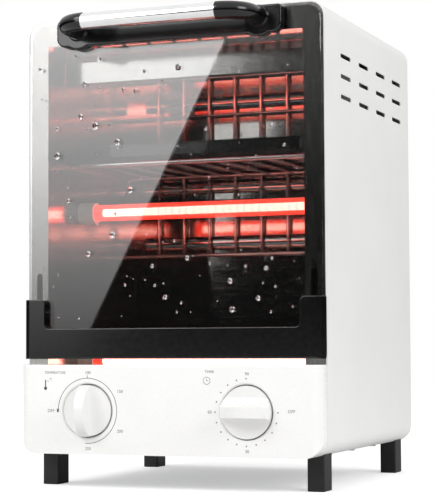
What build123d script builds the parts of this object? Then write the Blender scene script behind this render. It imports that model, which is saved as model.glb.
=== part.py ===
"""Upright bench dry heat sterilizer with a glass door that drops open.

Millimetres. X runs to the right as the user sees the front, Y runs into the depth, Z is up.
The origin is on the floor, under the middle of the whole object.
"""
from build123d import *
from math import cos, radians, sin
import os

# Overall size. Depths are measured from the front edge of the folded case.
case_width = 250.0
case_depth = 244.3
case_top = 370.5
case_bottom = 26.2
handle_reach = 51.75        # how far the handle stands in front of the case
gland_reach = 14.0          # how far the lead gland stands behind it
case_front = (handle_reach - case_depth - gland_reach) / 2
half_width = case_width / 2
overcut = 1.0               # how far a cutting shape stands out of what it cuts

# Screws
screw_radius = 1.5
screw_length = 6.0
screw_head_radius = 2.75
screw_head_height = 1.8
screw_crown = 0.8
cross_width = 0.8
cross_length = 3.4
cross_depth = 1.0
thread_clearance = 0.05

# Feet
foot_width = 13.6
foot_length = 19.2
foot_inset = 13.5
foot_x = half_width - foot_inset
foot_front_y = 11.3
foot_from_back = 36.7
foot_rear_y = case_depth - foot_from_back
foot_round = 1.2
foot_edge = 0.6
foot_rise = 3.5             # how far a foot reaches up round the corner of the case
foot_screw_x = foot_x - 4.1
foot_thread = 8.0

# Folded steel case
case_sheet = 0.8
case_top_round = 12.0
case_bottom_round = 14.0
case_rear_round = 10.0
case_inside = half_width - case_sheet
base_return = 22.0          # width of each lower return
base_return_rear = 14.3
base_opening = half_width - base_return
base_opening_depth = case_depth - base_return_rear
rear_flange = 16.0
rear_flange_corner = 6.0
rear_flange_inner = half_width - rear_flange
rear_flange_low = case_bottom + rear_flange - 0.2
rear_flange_high = case_top - rear_flange
rear_screw_x = half_width - 13.0
rear_screw_low = case_bottom + 43.8
rear_screw_high = case_top - 40.5
base_screw_x = half_width - 19.0
base_screw_first = foot_front_y + foot_length + 29.5
base_screw_last = foot_rear_y - 27.6
vent_length = 26.7
vent_height = 3.5
vent_pitch_y = 48.3
vent_pitch_z = 16.0
vent_first_y = 39.8
vent_top_z = case_top - 36.2
vent_columns = 1 + int((case_depth - case_rear_round - vent_first_y - vent_length) / vent_pitch_y)
vent_rows = 3

# Back panel, base plate and their air slots
back_panel_half = half_width - 11.0
back_panel_low = case_bottom + 11.8
back_panel_high = case_top - 12.0
back_panel_corner = 8.0
rear_vent_x = -20.0
rear_vent_pitch_x = 36.0
rear_vent_pitch_z = 10.0
rear_vent_count = 4
rear_vents_high = back_panel_high - 58.5
rear_vents_low = back_panel_low + 32.0
base_plate_front = 2.0
base_plate_length = base_opening_depth
base_plate_half = half_width - 14.5
base_slot_length = 30.0
base_slot_height = 4.0
base_slot_pitch_x = 44.0
base_slot_pitch_y = 14.0
base_upstand = 10.0
base_upstand_half = half_width - 25.0

# Front control panel and its two knob wells
panel_front = -15.2
panel_back = -0.5
panel_top = 95.6
panel_wall = 2.2
panel_side_round = 8.0
panel_edge_round = 1.2
panel_boss_x = half_width - 12.0
panel_boss_heights = (case_bottom + 25.8, panel_top - 9.6)
panel_boss_radius = 3.5
panel_screw_length = 9.0
knob_x = half_width - 59.0
knob_z = panel_top - 35.6
well_radius = 21.0
well_bevel = 1.1
well_floor = panel_front + 7.4
well_floor_back = well_floor + panel_wall
well_hole_radius = 6.6
plate_sheet = 1.2
plate_front = well_floor_back + 2.4
plate_back = plate_front + plate_sheet
plate_half = half_width - 21.0
plate_low = case_bottom + 7.8
plate_high = panel_top - 5.6
plate_corner = 3.0
plate_boss_x = plate_half - 5.0
plate_boss_heights = (plate_low + 6.0, plate_high - 6.0)
plate_boss_radius = 3.2
plate_screw_length = 7.0
boss_hole = 9.0

# Knobs
knob_radius = well_radius - 1.0
knob_face = panel_front - 0.5
knob_back = well_floor - 1.1
knob_wall = 2.2
knob_hub = 6.0
knob_hollow = 4.4
knob_bore = 10.5
knob_skirt = 2.0
fin_height = 15.5
fin_half_top = 3.9
fin_half_root = 4.7
fin_blend = 8.0
fin_half_length = 20.3
fin_ridge_round = 0.7
shaft_radius = 3.0
shaft_fit = 0.05
shaft_end_gap = 0.2
shaft_step = 1.5
shaft_tail = 15.0
shaft_bore = 16.0
flat_depth = 0.7

# Thermostat, timer and its bell
neck_radius = 4.7
neck_fit = 0.2
neck_end = plate_front - 2.8
nut_radius = 6.2
nut_thick = 2.3
control_edge = 1.5
tab_thick = 0.8
tab_width = 6.3
tab_length = 7.0
thermostat_radius = 17.0
thermostat_cup = 15.0
thermostat_depth = 22.0
thermostat_block_width = 26.0
thermostat_block_height = 18.0
thermostat_tab_x = 8.0
timer_size = 36.0
timer_corner = 4.0
timer_depth = 24.0
timer_tab_x = 15.0
timer_tab_drop = 12.0
bell_post = 2.0
bell_post_radius = 2.4
bell_radius = 15.0
bell_crown = 10.0
bell_shoulder = 4.0
bell_depth = 8.0
bell_sheet = 0.8

# Bright steel liner of the heated cavity
liner_sheet = 0.6
cavity_wall_gap = 17.0      # from the outside of the case to the inside of the cavity
cavity_half = half_width - cavity_wall_gap
cavity_floor_z = panel_top - 11.6
cavity_ceiling_z = case_top - 20.5
service_depth = 72.9        # from the back of the cavity to the back of the case
cavity_back_y = case_depth - service_depth
strip_gap = 0.2
strip_outer = case_inside - strip_gap
strip_low = case_bottom + 15.8
strip_high = cavity_ceiling_z + strip_gap
side_return = 10.0
side_return_low = strip_low + 28.0
side_return_high = strip_high - 5.2
top_return = 9.0
seam_flange = cavity_half + 8.0     # outer reach of the seams between the liner's sheets
flange_start = 50.0
floor_gap = 0.5
floor_lip = 4.4
rib_heights = tuple(cavity_ceiling_z - drop for drop in (27.5, 101.0, 150.5))
rib_radius = 6.0
rib_depth = 2.4
rib_half = cavity_half - 10.0

# Rack, its rails, and the tray
rack_z = cavity_ceiling_z - 92.0
rack_half = cavity_half - 2.5
rack_front_y = 45.0
rack_back_y = cavity_back_y - 9.4
rack_frame_radius = 1.7
rack_wire_radius = 1.5
rack_pitch = 21.5
rack_corner = 9.0
rack_wires = 1 + int(2 * (rack_half - rack_corner) / rack_pitch)
rail_inner = cavity_half - 7.0
rail_front = 12.0
rail_lip = 8.0
tray_half = cavity_half - 8.0
tray_front_y = rack_front_y + 7.0
tray_back_y = rack_back_y - 2.0
tray_length = tray_back_y - tray_front_y
tray_bottom = rack_z + rack_wire_radius
tray_height = 15.6
tray_corner = 22.0
tray_fold = 6.0
tray_sheet = 1.2
tray_rim = 1.5

# Quartz heaters
tube_y = 61.0
tube_radius = 6.7
tube_heights = {
    "upper": cavity_ceiling_z - 13.0,
    "middle": rack_z - 38.0,
    "lower": cavity_floor_z + 14.0,
}
tube_bore = 5.5
tube_half_length = cavity_half - 8.0
holder_radius = 8.8
holder_inner_x = tube_half_length - 5.4
holder_neck_radius = 6.2
holder_outer_x = cavity_half + 5.0
holder_fit = 0.1
coil_radius = 3.2
coil_half = tube_half_length - 12.0
terminal_radius = 1.5
terminal_stub = 1.5
terminal_nut_radius = 2.9
terminal_nut_thick = 2.4

# Heater shield, wire guard and over-temperature cut-out
shield_y = 30.0
shield_low = cavity_ceiling_z - 26.0
shield_half = cavity_half - 1.0
shield_slot_z = cavity_ceiling_z - 6.0
shield_slot_width = 18.5
shield_slot_height = 6.2
shield_pitch = 22.0
shield_slots = int(2 * (shield_half - 4.0) / shield_pitch)
shield_lower_lip = 8.0
shield_upper_lip = 10.0
guard_gap = 2.0
guard_y = cavity_back_y - rib_depth - guard_gap
guard_radius = 1.5
guard_bar_radius = 1.35
guard_bar_step = 1.0
guard_pitch = 24.2
guard_wires = int(2 * cavity_half / guard_pitch)
guard_low = cavity_ceiling_z - 162.0
guard_high = cavity_ceiling_z - 4.0
guard_bars = [guard_low + 1.0, guard_low + 48.0, guard_high - 34.5, guard_high - 1.0]
cutout_y = 100.0
cutout_flange_length = 30.0
cutout_flange_width = 12.0
cutout_radius = 8.0
cutout_height = 8.0
cutout_tab_x = 4.5
cutout_tab_width = 5.0
cutout_tab_length = 6.0

# Lead gland, terminal block and wiring
gland_x = half_width - 39.0
gland_z = case_bottom + 35.8
gland_neck = 7.0
gland_fit = 0.1
gland_flange = 2.6
gland_flange_radius = 9.5
gland_edge = 0.8
gland_collar_radius = 6.0
gland_nut_radius = 8.5
gland_nut = 3.0
gland_bore = 3.3
block_x = half_width - 63.0
block_y = case_depth - 39.3
block_length = 34.0
block_width = 16.0
block_height = 12.0
block_corner = 1.5
block_pitch = 10.0
block_poles = 3
block_screw_radius = 2.6
block_screw_depth = 5.0
block_entry_radius = 1.9
block_entry_depth = 3.0
block_entry_height = 3.8
wire_radius = 1.6
wire_bend = 6.0
riser_x = 6.0 - half_width
riser_y = tube_y + 15.0

# Door: pane, lower trim and hinge
door_gap = 4.5              # between the control panel and the door
glass_front = -4.0
glass_back = -0.8
glass_half = half_width - 1.8
glass_high = case_top - 3.0
glass_corner = case_top_round - 0.5
glass_edge = 0.5
glass_gap = 0.3
trim_front = -9.2
trim_back = -0.6
trim_low = panel_top + door_gap
trim_bar_high = trim_low + 23.9
arm_radius = 35.0
hinge_z = trim_low + 4.1
trim_post_high = hinge_z + arm_radius + 7.8
trim_post_inner = half_width - 18.7
trim_side_round = 5.0
trim_toe_round = 1.5
trim_heel_round = 3.5
trim_post_round = 4.5
trim_inner_round = 3.5
trim_brim = 0.8
trim_pocket_high = trim_post_high + 3.0
glass_low = trim_low + 7.9
glass_notch_x = trim_post_inner + 2.0
glass_notch_z = trim_post_high - 1.5
glass_notch = half_width - glass_notch_x + 5.0
hinge_y = -4.6
pin_radius = 1.5
pin_fit = 0.05
pin_press = 0.02
pin_length = 9.8
pin_hole = 10.2
ear_inner = half_width - 13.8
ear_thick = 1.5
ear_radius = 3.0
ear_gap = 0.4
ear_slot_gap = 0.2
ear_sweep = 9.0             # reach of the space that the ear needs in the trim as the door turns
ear_plate = 1.2
ear_plate_width = 8.0
ear_plate_height = 14.0
ear_plate_corner = 1.5
arm_x = half_width - 10.3
arm_thick = 1.6
arm_width = 8.0
arm_toe = 1.8
arm_tail_angle = -16.0
arm_stop_angle = -11.5
arm_pocket_gap = 0.05
arm_slot_inner = arm_x - 1.7
arm_slot_outer = arm_x + arm_thick + 1.7
arm_slot_low = hinge_z + 21.8
arm_slot_high = hinge_z + 63.8
rivet_y = -4.0
rivet_radius = 1.25
rivet_fit = 0.02
rivet_length = 12.2
rivet_hole = 12.7
stop_rivet_length = 6.8

# Handle
bar_depth = 8.0
bar_front = glass_front - bar_depth
bar_half = half_width - 30.5
bar_high = glass_high + 0.5
bar_low = bar_high - 21.2
bar_round = 7.0
bar_top_round = 3.0
bar_edge = 1.4
bar_ear_radius = 14.0
bar_ear_drop = 1.0
elbow_radius = 6.9
elbow_bend = 20.6
grip_radius = 6.3
grip_wall = 1.2
grip_y = elbow_radius - handle_reach
grip_z = bar_high - 8.7
grip_half = bar_half - 39.1
leg_x = grip_half + elbow_bend
leg_straight_y = grip_y + elbow_bend
spigot_length = 12.0
collar_radius = 8.8
collar_height = 2.2
handle_hole_radius = 3.0
handle_recess_radius = 6.5
handle_screw_radius = 2.0
handle_screw_grip = 10.0
handle_screw_bore = 11.0
handle_head_radius = 4.2
handle_head_height = 2.4
handle_head_round = 1.0
handle_washer = 0.5
washer_radius = 5.2

os.makedirs("parts", exist_ok=True)


def depth(offset_from_case):
    """Y of a depth that is measured from the case's front edge."""
    return case_front + offset_from_case


def facing(offset_from_case):
    """A plane seen from the front: sketch x is X, sketch y is Z, and its normal points forward."""
    return Plane.XZ.offset(-depth(offset_from_case))


def sideways(x):
    """A plane seen from the right: sketch x is Y, sketch y is Z, and its normal points to +X."""
    return Plane.YZ.offset(x)


def level(z):
    """A plane seen from above at one height."""
    return Plane.XY.offset(z)


def finish(builder, name):
    builder.part.label = name
    export_step(builder.part, f"parts/{name}.step")


# Folded case: top, sides, lower returns and a rear flange in one sheet
with BuildPart() as case_wrap:
    with BuildSketch(facing(0)) as outline:
        with Locations((0, (case_top + case_bottom) / 2)):
            Rectangle(case_width, case_top - case_bottom)
        fillet(outline.vertices().group_by(Axis.Y)[-1], case_top_round)
        fillet(outline.vertices().group_by(Axis.Y)[0], case_bottom_round)
    extrude(amount=-case_depth)
    fillet(case_wrap.faces().sort_by(Axis.Y)[-1].edges(), case_rear_round)
    offset(amount=-case_sheet, openings=case_wrap.faces().sort_by(Axis.Y)[0])
    with BuildSketch(level(case_bottom - overcut)):
        with Locations((0, depth(base_opening_depth / 2) - overcut)):
            Rectangle(2 * base_opening, base_opening_depth + 2 * overcut)
    extrude(amount=case_sheet + 2 * overcut, mode=Mode.SUBTRACT)
    with BuildSketch(facing(case_depth + overcut)):
        with Locations((0, (rear_flange_low + rear_flange_high) / 2)):
            RectangleRounded(2 * rear_flange_inner, rear_flange_high - rear_flange_low, rear_flange_corner)
    extrude(amount=case_sheet + 2 * overcut, mode=Mode.SUBTRACT)
    with BuildSketch(sideways(0)):
        vent_middle_y = depth(vent_first_y) + vent_length / 2 + vent_pitch_y * (vent_columns - 1) / 2
        vent_middle_z = vent_top_z - vent_pitch_z * (vent_rows - 1) / 2
        with Locations((vent_middle_y, vent_middle_z)):
            with GridLocations(vent_pitch_y, vent_pitch_z, vent_columns, vent_rows):
                SlotOverall(vent_length, vent_height)
    extrude(amount=half_width + overcut, both=True, mode=Mode.SUBTRACT)
    rear_screw_heights = (rear_screw_low, (rear_screw_low + rear_screw_high) / 2, rear_screw_high)
    rear_screws = [(side * rear_screw_x, z) for side in (-1, 1) for z in rear_screw_heights]
    with BuildSketch(facing(case_depth + overcut)):
        with Locations(*rear_screws):
            Circle(screw_radius + thread_clearance)
    extrude(amount=case_sheet + 2 * overcut, mode=Mode.SUBTRACT)
    base_screw_depths = (base_screw_first, (base_screw_first + base_screw_last) / 2, base_screw_last)
    base_screws = [(side * base_screw_x, depth(y)) for side in (-1, 1) for y in base_screw_depths]
    with BuildSketch(level(case_bottom - overcut)):
        with Locations(*base_screws):
            Circle(screw_radius + thread_clearance)
    extrude(amount=case_sheet + 2 * overcut, mode=Mode.SUBTRACT)
    foot_screws = [
        (side * foot_screw_x, depth(y + foot_length / 2))
        for side in (-1, 1)
        for y in (foot_front_y, foot_rear_y)
    ]
    with BuildSketch(level(case_bottom - overcut)):
        with Locations(*foot_screws):
            Circle(screw_radius + thread_clearance)
    extrude(amount=case_sheet + 2 * overcut, mode=Mode.SUBTRACT)
finish(case_wrap, "case_wrap")

# Back panel, held inside the rear flange
back_panel_outer = case_depth - case_sheet
with BuildPart() as back_panel:
    with BuildSketch(facing(back_panel_outer)):
        with Locations((0, (back_panel_low + back_panel_high) / 2)):
            RectangleRounded(2 * back_panel_half, back_panel_high - back_panel_low, back_panel_corner)
        with Locations((gland_x, gland_z)):
            Circle(gland_neck + gland_fit, mode=Mode.SUBTRACT)
        with Locations(*rear_screws):
            Circle(screw_radius + thread_clearance, mode=Mode.SUBTRACT)
        for group_z in (rear_vents_high, rear_vents_low):
            with Locations((rear_vent_x, group_z)):
                with GridLocations(rear_vent_pitch_x, rear_vent_pitch_z, rear_vent_count, rear_vent_count):
                    SlotOverall(vent_length, vent_height, mode=Mode.SUBTRACT)
    extrude(amount=case_sheet)
finish(back_panel, "back_panel")

# Base plate, laid on the lower returns
base_plate_z = case_bottom + case_sheet
with BuildPart() as base_plate:
    with BuildSketch(level(base_plate_z)):
        with Locations((0, depth(base_plate_front + base_plate_length / 2))):
            Rectangle(2 * base_plate_half, base_plate_length)
            with GridLocations(base_slot_pitch_x, base_slot_pitch_y, 3, 8):
                SlotOverall(base_slot_length, base_slot_height, mode=Mode.SUBTRACT)
        with Locations(*base_screws):
            Circle(screw_radius + thread_clearance, mode=Mode.SUBTRACT)
        with Locations(*foot_screws):
            Circle(screw_radius + thread_clearance, mode=Mode.SUBTRACT)
    extrude(amount=case_sheet)
    with BuildSketch(facing(base_plate_front)):
        with Locations((0, base_plate_z + base_upstand / 2)):
            Rectangle(2 * base_upstand_half, base_upstand)
    extrude(amount=-case_sheet)
finish(base_plate, "base_plate")

# Feet: blocks whose tops follow the rounded corner of the case
with BuildPart() as feet:
    for side in (-1, 1):
        for start_y in (foot_front_y, foot_rear_y):
            with BuildSketch(level(0)):
                with Locations((side * foot_x, depth(start_y + foot_length / 2))):
                    RectangleRounded(foot_width, foot_length, foot_round)
            extrude(amount=case_bottom + foot_rise)
    chamfer(feet.faces().group_by(Axis.Z)[0].edges(), foot_edge)
    with BuildSketch(facing(0)) as case_outline:
        with Locations((0, (case_top + case_bottom) / 2)):
            Rectangle(case_width, case_top - case_bottom)
        fillet(case_outline.vertices().group_by(Axis.Y)[0], case_bottom_round)
    extrude(amount=-case_depth, mode=Mode.SUBTRACT)
    with BuildSketch(level(case_bottom - foot_thread - overcut)):
        with Locations(*foot_screws):
            Circle(screw_radius + thread_clearance)
    extrude(amount=foot_thread + foot_rise + 2 * overcut, mode=Mode.SUBTRACT)
finish(feet, "feet")

with BuildPart() as base_screw_set:
    with BuildSketch(level(case_bottom - foot_thread)):
        with Locations(*foot_screws):
            Circle(screw_radius)
    extrude(amount=foot_thread + 2 * case_sheet)
    with BuildSketch(level(case_bottom)):
        with Locations(*base_screws):
            Circle(screw_radius)
    extrude(amount=screw_length)
    with BuildSketch(level(base_plate_z + case_sheet)):
        with Locations(*foot_screws):
            Circle(screw_head_radius)
    extrude(amount=screw_head_height)
    with BuildSketch(level(case_bottom - screw_head_height)):
        with Locations(*base_screws):
            Circle(screw_head_radius)
    extrude(amount=screw_head_height)
finish(base_screw_set, "base_screws")

with BuildPart() as rear_screw_set:
    with BuildSketch(facing(case_depth)):
        with Locations(*rear_screws):
            Circle(screw_radius)
    extrude(amount=screw_length)
    with BuildSketch(facing(case_depth)) as heads:
        with Locations(*rear_screws):
            Circle(screw_head_radius)
    extrude(amount=-screw_head_height)
    fillet(rear_screw_set.faces().group_by(Axis.Y)[-1].edges(), screw_crown)
    with BuildSketch(facing(case_depth + screw_head_height + overcut)):
        with Locations(*rear_screws):
            Rectangle(cross_length, cross_width)
            Rectangle(cross_width, cross_length)
    extrude(amount=cross_depth + overcut, mode=Mode.SUBTRACT)
finish(rear_screw_set, "back_screws")

# Control panel: a hollow front with rounded ends, and a well behind each knob
panel_bosses = [(side * panel_boss_x, z) for side in (-1, 1) for z in panel_boss_heights]
plate_bosses = [(side * plate_boss_x, z) for side in (-1, 1) for z in plate_boss_heights]
knob_places = [(side * knob_x, knob_z) for side in (-1, 1)]
with BuildPart() as control_panel:
    with BuildSketch(level(case_bottom)) as plan:
        with Locations((0, depth((panel_front + panel_back) / 2))):
            Rectangle(case_width, panel_back - panel_front)
        fillet(plan.vertices().group_by(Axis.Y)[0], panel_side_round)
    extrude(amount=panel_top - case_bottom)
    with BuildSketch(facing(0)) as front_view:
        with Locations((0, (panel_top + case_bottom) / 2)):
            Rectangle(case_width, panel_top - case_bottom)
        fillet(front_view.vertices().group_by(Axis.Y)[0], case_bottom_round)
    extrude(amount=overcut - panel_front, mode=Mode.INTERSECT)
    offset(amount=-panel_wall, openings=control_panel.faces().sort_by(Axis.Y)[-1])
    with BuildSketch(facing(panel_front + panel_wall)):
        with Locations(*knob_places):
            Circle(well_radius + panel_wall)
    extrude(amount=panel_front + panel_wall - well_floor_back)
    with BuildSketch(facing(panel_front + panel_wall)):
        with Locations(*panel_bosses):
            Circle(panel_boss_radius)
    extrude(amount=panel_front + panel_wall)
    with BuildSketch(facing(panel_front + panel_wall)):
        with Locations(*plate_bosses):
            Circle(plate_boss_radius)
    extrude(amount=panel_front + panel_wall - plate_front)
    with BuildSketch(facing(panel_front - overcut)):
        with Locations(*knob_places):
            Circle(well_radius)
    extrude(amount=panel_front - overcut - well_floor, mode=Mode.SUBTRACT)
    with BuildSketch(facing(panel_front - overcut)):
        with Locations(*knob_places):
            Circle(well_hole_radius)
    extrude(amount=panel_front - 2 * overcut, mode=Mode.SUBTRACT)
    with BuildSketch(facing(0)):
        with Locations(*panel_bosses, *plate_bosses):
            Circle(screw_radius + thread_clearance)
    extrude(amount=boss_hole, mode=Mode.SUBTRACT)
    front_face = control_panel.faces().filter_by(GeomType.PLANE).sort_by(Axis.Y)[0]
    rounds = front_face.edges().filter_by(GeomType.CIRCLE)
    chamfer([e for e in rounds if abs(e.radius - well_radius) < 0.1], well_bevel)
    brow = [
        e for e in control_panel.edges().group_by(Axis.Z)[-1]
        if e.center().Y < depth(panel_back) - 0.3 and e.length > 5 and abs(e.center().X) < half_width - 0.5
        and e.distance_to(Vertex(e.center().X, depth(panel_back), panel_top)) > panel_wall
    ]
    fillet([e for e in brow if e.center().Y < depth(panel_front) + panel_side_round / 2], panel_edge_round)
finish(control_panel, "control_panel")

with BuildPart() as control_plate:
    with BuildSketch(facing(plate_back)):
        with Locations((0, (plate_low + plate_high) / 2)):
            RectangleRounded(2 * plate_half, plate_high - plate_low, plate_corner)
        with Locations(*knob_places):
            Circle(neck_radius + neck_fit, mode=Mode.SUBTRACT)
        with Locations(*plate_bosses):
            Circle(screw_radius + thread_clearance, mode=Mode.SUBTRACT)
    extrude(amount=plate_back - plate_front)
finish(control_plate, "control_plate")

with BuildPart() as panel_screw_set:
    with BuildSketch(facing(plate_back)):
        with Locations(*plate_bosses):
            Circle(screw_radius)
    extrude(amount=plate_screw_length)
    with BuildSketch(facing(plate_back)):
        with Locations(*plate_bosses):
            Circle(screw_head_radius)
    extrude(amount=-screw_head_height)
    with BuildSketch(facing(liner_sheet)):
        with Locations(*panel_bosses):
            Circle(screw_radius)
    extrude(amount=panel_screw_length)
    with BuildSketch(facing(liner_sheet)):
        with Locations(*panel_bosses):
            Circle(screw_head_radius)
    extrude(amount=-screw_head_height)
finish(panel_screw_set, "panel_screws")

# Controls behind the plate
with BuildPart() as thermostat_body:
    with BuildSketch(facing(plate_back)):
        with Locations((-knob_x, knob_z)):
            Circle(thermostat_radius)
    extrude(amount=-thermostat_cup)
    fillet(thermostat_body.faces().sort_by(Axis.Y)[-1].edges(), control_edge)
    with BuildSketch(facing(plate_back + thermostat_cup - overcut)):
        with Locations((-knob_x, knob_z)):
            Rectangle(thermostat_block_width, thermostat_block_height)
    extrude(amount=thermostat_cup - overcut - thermostat_depth)
    with BuildSketch(facing(plate_back + thermostat_depth)):
        with Locations(*[(-knob_x + side * thermostat_tab_x, knob_z) for side in (-1, 1)]):
            Rectangle(tab_thick, tab_width)
    extrude(amount=-tab_length)
    with BuildSketch(facing(plate_back)):
        with Locations((-knob_x, knob_z)):
            Circle(neck_radius)
    extrude(amount=plate_back - neck_end)
    with BuildSketch(facing(neck_end)):
        with Locations((-knob_x, knob_z)):
            Circle(shaft_radius + shaft_fit)
    extrude(amount=-shaft_bore, mode=Mode.SUBTRACT)
finish(thermostat_body, "thermostat_body")

with BuildPart() as timer_body:
    with BuildSketch(facing(plate_back)):
        with Locations((knob_x, knob_z)):
            RectangleRounded(timer_size, timer_size, timer_corner)
    extrude(amount=-timer_depth)
    fillet(timer_body.faces().sort_by(Axis.Y)[-1].edges(), control_edge)
    with BuildSketch(facing(plate_back + timer_depth)):
        with Locations(*[(knob_x + side * timer_tab_x, knob_z - timer_tab_drop) for side in (-1, 1)]):
            Rectangle(tab_thick, tab_width)
    extrude(amount=-tab_length)
    with BuildSketch(facing(plate_back + timer_depth)):
        with Locations((knob_x, knob_z)):
            Circle(bell_post_radius)
    extrude(amount=-bell_post)
    with BuildSketch(facing(plate_back)):
        with Locations((knob_x, knob_z)):
            Circle(neck_radius)
    extrude(amount=plate_back - neck_end)
    with BuildSketch(facing(neck_end)):
        with Locations((knob_x, knob_z)):
            Circle(shaft_radius + shaft_fit)
    extrude(amount=-shaft_bore, mode=Mode.SUBTRACT)
finish(timer_body, "timer_body")

# The timer's bell: a turned cup, closed side to the timer
bell_y = depth(plate_back + timer_depth + bell_post)
with BuildPart() as timer_bell:
    with BuildSketch(Plane.XY):
        with BuildLine():
            Polyline(
                (0, 0), (bell_crown, 0), (bell_radius, bell_shoulder), (bell_radius, bell_depth),
                (bell_radius - bell_sheet, bell_depth),
                (bell_radius - bell_sheet, bell_shoulder + bell_sheet / 2),
                (bell_crown - bell_sheet / 2, bell_sheet), (0, bell_sheet), (0, 0),
            )
        make_face()
    revolve(axis=Axis.Y)
timer_bell.part.label = "timer_bell"
bell_part = Pos(knob_x, bell_y, knob_z) * timer_bell.part
bell_part.label = "timer_bell"
export_step(bell_part, "parts/timer_bell.step")

with BuildPart() as shaft_nuts:
    with BuildSketch(facing(plate_front)):
        with Locations(*knob_places):
            RegularPolygon(radius=nut_radius, side_count=6, major_radius=False)
            Circle(neck_radius + thread_clearance, mode=Mode.SUBTRACT)
    extrude(amount=nut_thick)
finish(shaft_nuts, "shaft_nuts")


def make_knob(centre_x, name, turned):
    """A disc with an arched finger grip whose flanks run out into it. turned is the grip's angle.

    The knob is drawn lying on its back, its face on the XY plane, and then set in the panel.
    """
    thickness = knob_back - knob_face
    with BuildPart() as knob:
        with BuildSketch(Plane.XZ) as flared:
            with BuildLine():
                Polyline(
                    (-knob_radius, -knob_skirt), (knob_radius, -knob_skirt),
                    (knob_radius, 0), (fin_half_root, 0),
                    (fin_half_top, fin_height), (-fin_half_top, fin_height), (-fin_half_root, 0),
                    (-knob_radius, 0), (-knob_radius, -knob_skirt),
                )
            make_face()
            corners = [v for v in flared.vertices() if abs(v.Y) < 0.01]
            fillet([v for v in corners if abs(v.X) < fin_half_root + 0.01], fin_blend)
        extrude(amount=knob_radius, both=True)
        with BuildSketch(Plane.YZ):
            Ellipse(fin_half_length, fin_height)
            with Locations((0, -knob_radius / 2)):
                Rectangle(2 * knob_radius, knob_radius)
        extrude(amount=knob_radius, both=True, mode=Mode.INTERSECT)
        with BuildSketch(Plane.XY.offset(-knob_skirt)):
            Circle(knob_radius)
        extrude(amount=fin_height + 2 * knob_skirt, mode=Mode.INTERSECT)
        ridge = knob.faces().sort_by(Axis.Z)[-1].edges().sort_by(SortBy.LENGTH)[-2:]
        fillet(ridge, fin_ridge_round)
        with BuildSketch(Plane.XY):
            Circle(knob_radius)
        extrude(amount=-thickness)
        with BuildSketch(Plane.XY.offset(-thickness)):
            Circle(knob_radius - knob_wall)
            Circle(knob_hub, mode=Mode.SUBTRACT)
        extrude(amount=knob_hollow, mode=Mode.SUBTRACT)
        with BuildSketch(Plane.XY.offset(-thickness)):
            Circle(shaft_radius + thread_clearance)
            with Locations((0, shaft_radius - flat_depth / 2 + overcut / 2)):
                Rectangle(
                    2 * (shaft_radius + overcut), flat_depth + overcut - 2 * thread_clearance,
                    mode=Mode.SUBTRACT,
                )
        extrude(amount=knob_bore, mode=Mode.SUBTRACT)
    with BuildPart() as shaft:
        with BuildSketch(Plane.XY.offset(-thickness - shaft_step)):
            Circle(shaft_radius)
            with Locations((0, shaft_radius - flat_depth / 2 + overcut / 2)):
                Rectangle(2 * (shaft_radius + overcut), flat_depth + overcut, mode=Mode.SUBTRACT)
        extrude(amount=shaft_step + knob_bore - shaft_end_gap)
        with BuildSketch(Plane.XY.offset(-thickness - shaft_step)):
            Circle(shaft_radius)
        extrude(amount=-shaft_tail)
    tilt = radians(turned)
    seat = Plane(
        origin=(centre_x, depth(knob_face), knob_z), x_dir=(cos(tilt), 0, sin(tilt)), z_dir=(0, -1, 0),
    )
    for piece, label in ((knob, name), (shaft, name.replace("knob", "shaft"))):
        placed = seat.location * piece.part
        placed.label = label
        export_step(placed, f"parts/{label}.step")


make_knob(-knob_x, "temperature_knob", 0)
make_knob(knob_x, "timer_knob", -90)


def make_cavity_side(side, name):
    """One side of the liner with its front strip, arm slot, ear slot and seam flanges."""
    middle_z = (cavity_floor_z + cavity_ceiling_z) / 2
    return_z = (side_return_low + side_return_high) / 2
    flange_x = side * (cavity_half + seam_flange) / 2
    slot_x = side * (arm_slot_inner + arm_slot_outer) / 2
    with BuildPart() as wall:
        with BuildSketch(level(cavity_floor_z)):
            with Locations((side * (cavity_half + liner_sheet / 2), depth(cavity_back_y / 2))):
                Rectangle(liner_sheet, cavity_back_y)
        extrude(amount=cavity_ceiling_z - cavity_floor_z)
        with BuildSketch(facing(liner_sheet)):
            with Locations((side * (cavity_half + strip_outer) / 2, (strip_low + strip_high) / 2)):
                Rectangle(strip_outer - cavity_half, strip_high - strip_low)
        extrude(amount=liner_sheet)
        with BuildSketch(facing(side_return)):
            with Locations((side * (case_inside - liner_sheet / 2), return_z)):
                Rectangle(liner_sheet, side_return_high - side_return_low)
        extrude(amount=side_return)
        with BuildSketch(facing(cavity_back_y)):
            with Locations((flange_x, middle_z)):
                Rectangle(seam_flange - cavity_half, cavity_ceiling_z - cavity_floor_z)
        extrude(amount=liner_sheet)
        for flange_z in (cavity_floor_z, cavity_ceiling_z - liner_sheet):
            with BuildSketch(level(flange_z)):
                with Locations((flange_x, depth((cavity_back_y + flange_start) / 2))):
                    Rectangle(seam_flange - cavity_half, cavity_back_y - flange_start)
            extrude(amount=liner_sheet)
        with BuildSketch(facing(liner_sheet + overcut)):
            with Locations((slot_x, (arm_slot_low + arm_slot_high) / 2)):
                SlotOverall(arm_slot_high - arm_slot_low, arm_slot_outer - arm_slot_inner, rotation=90)
            with Locations((side * (ear_inner + ear_thick / 2), hinge_z)):
                Rectangle(ear_thick + 2 * ear_slot_gap, 2 * (ear_radius + ear_slot_gap))
            with Locations(*[(x, z) for x, z in panel_bosses if x * side > 0]):
                Circle(screw_radius + thread_clearance)
        extrude(amount=liner_sheet + 2 * overcut, mode=Mode.SUBTRACT)
        with BuildSketch(sideways(side * (cavity_half - overcut))):
            with Locations(*[(depth(tube_y), z) for z in tube_heights.values()]):
                Circle(holder_neck_radius + holder_fit)
        extrude(amount=side * (liner_sheet + 2 * overcut), mode=Mode.SUBTRACT)
    finish(wall, name)


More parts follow.
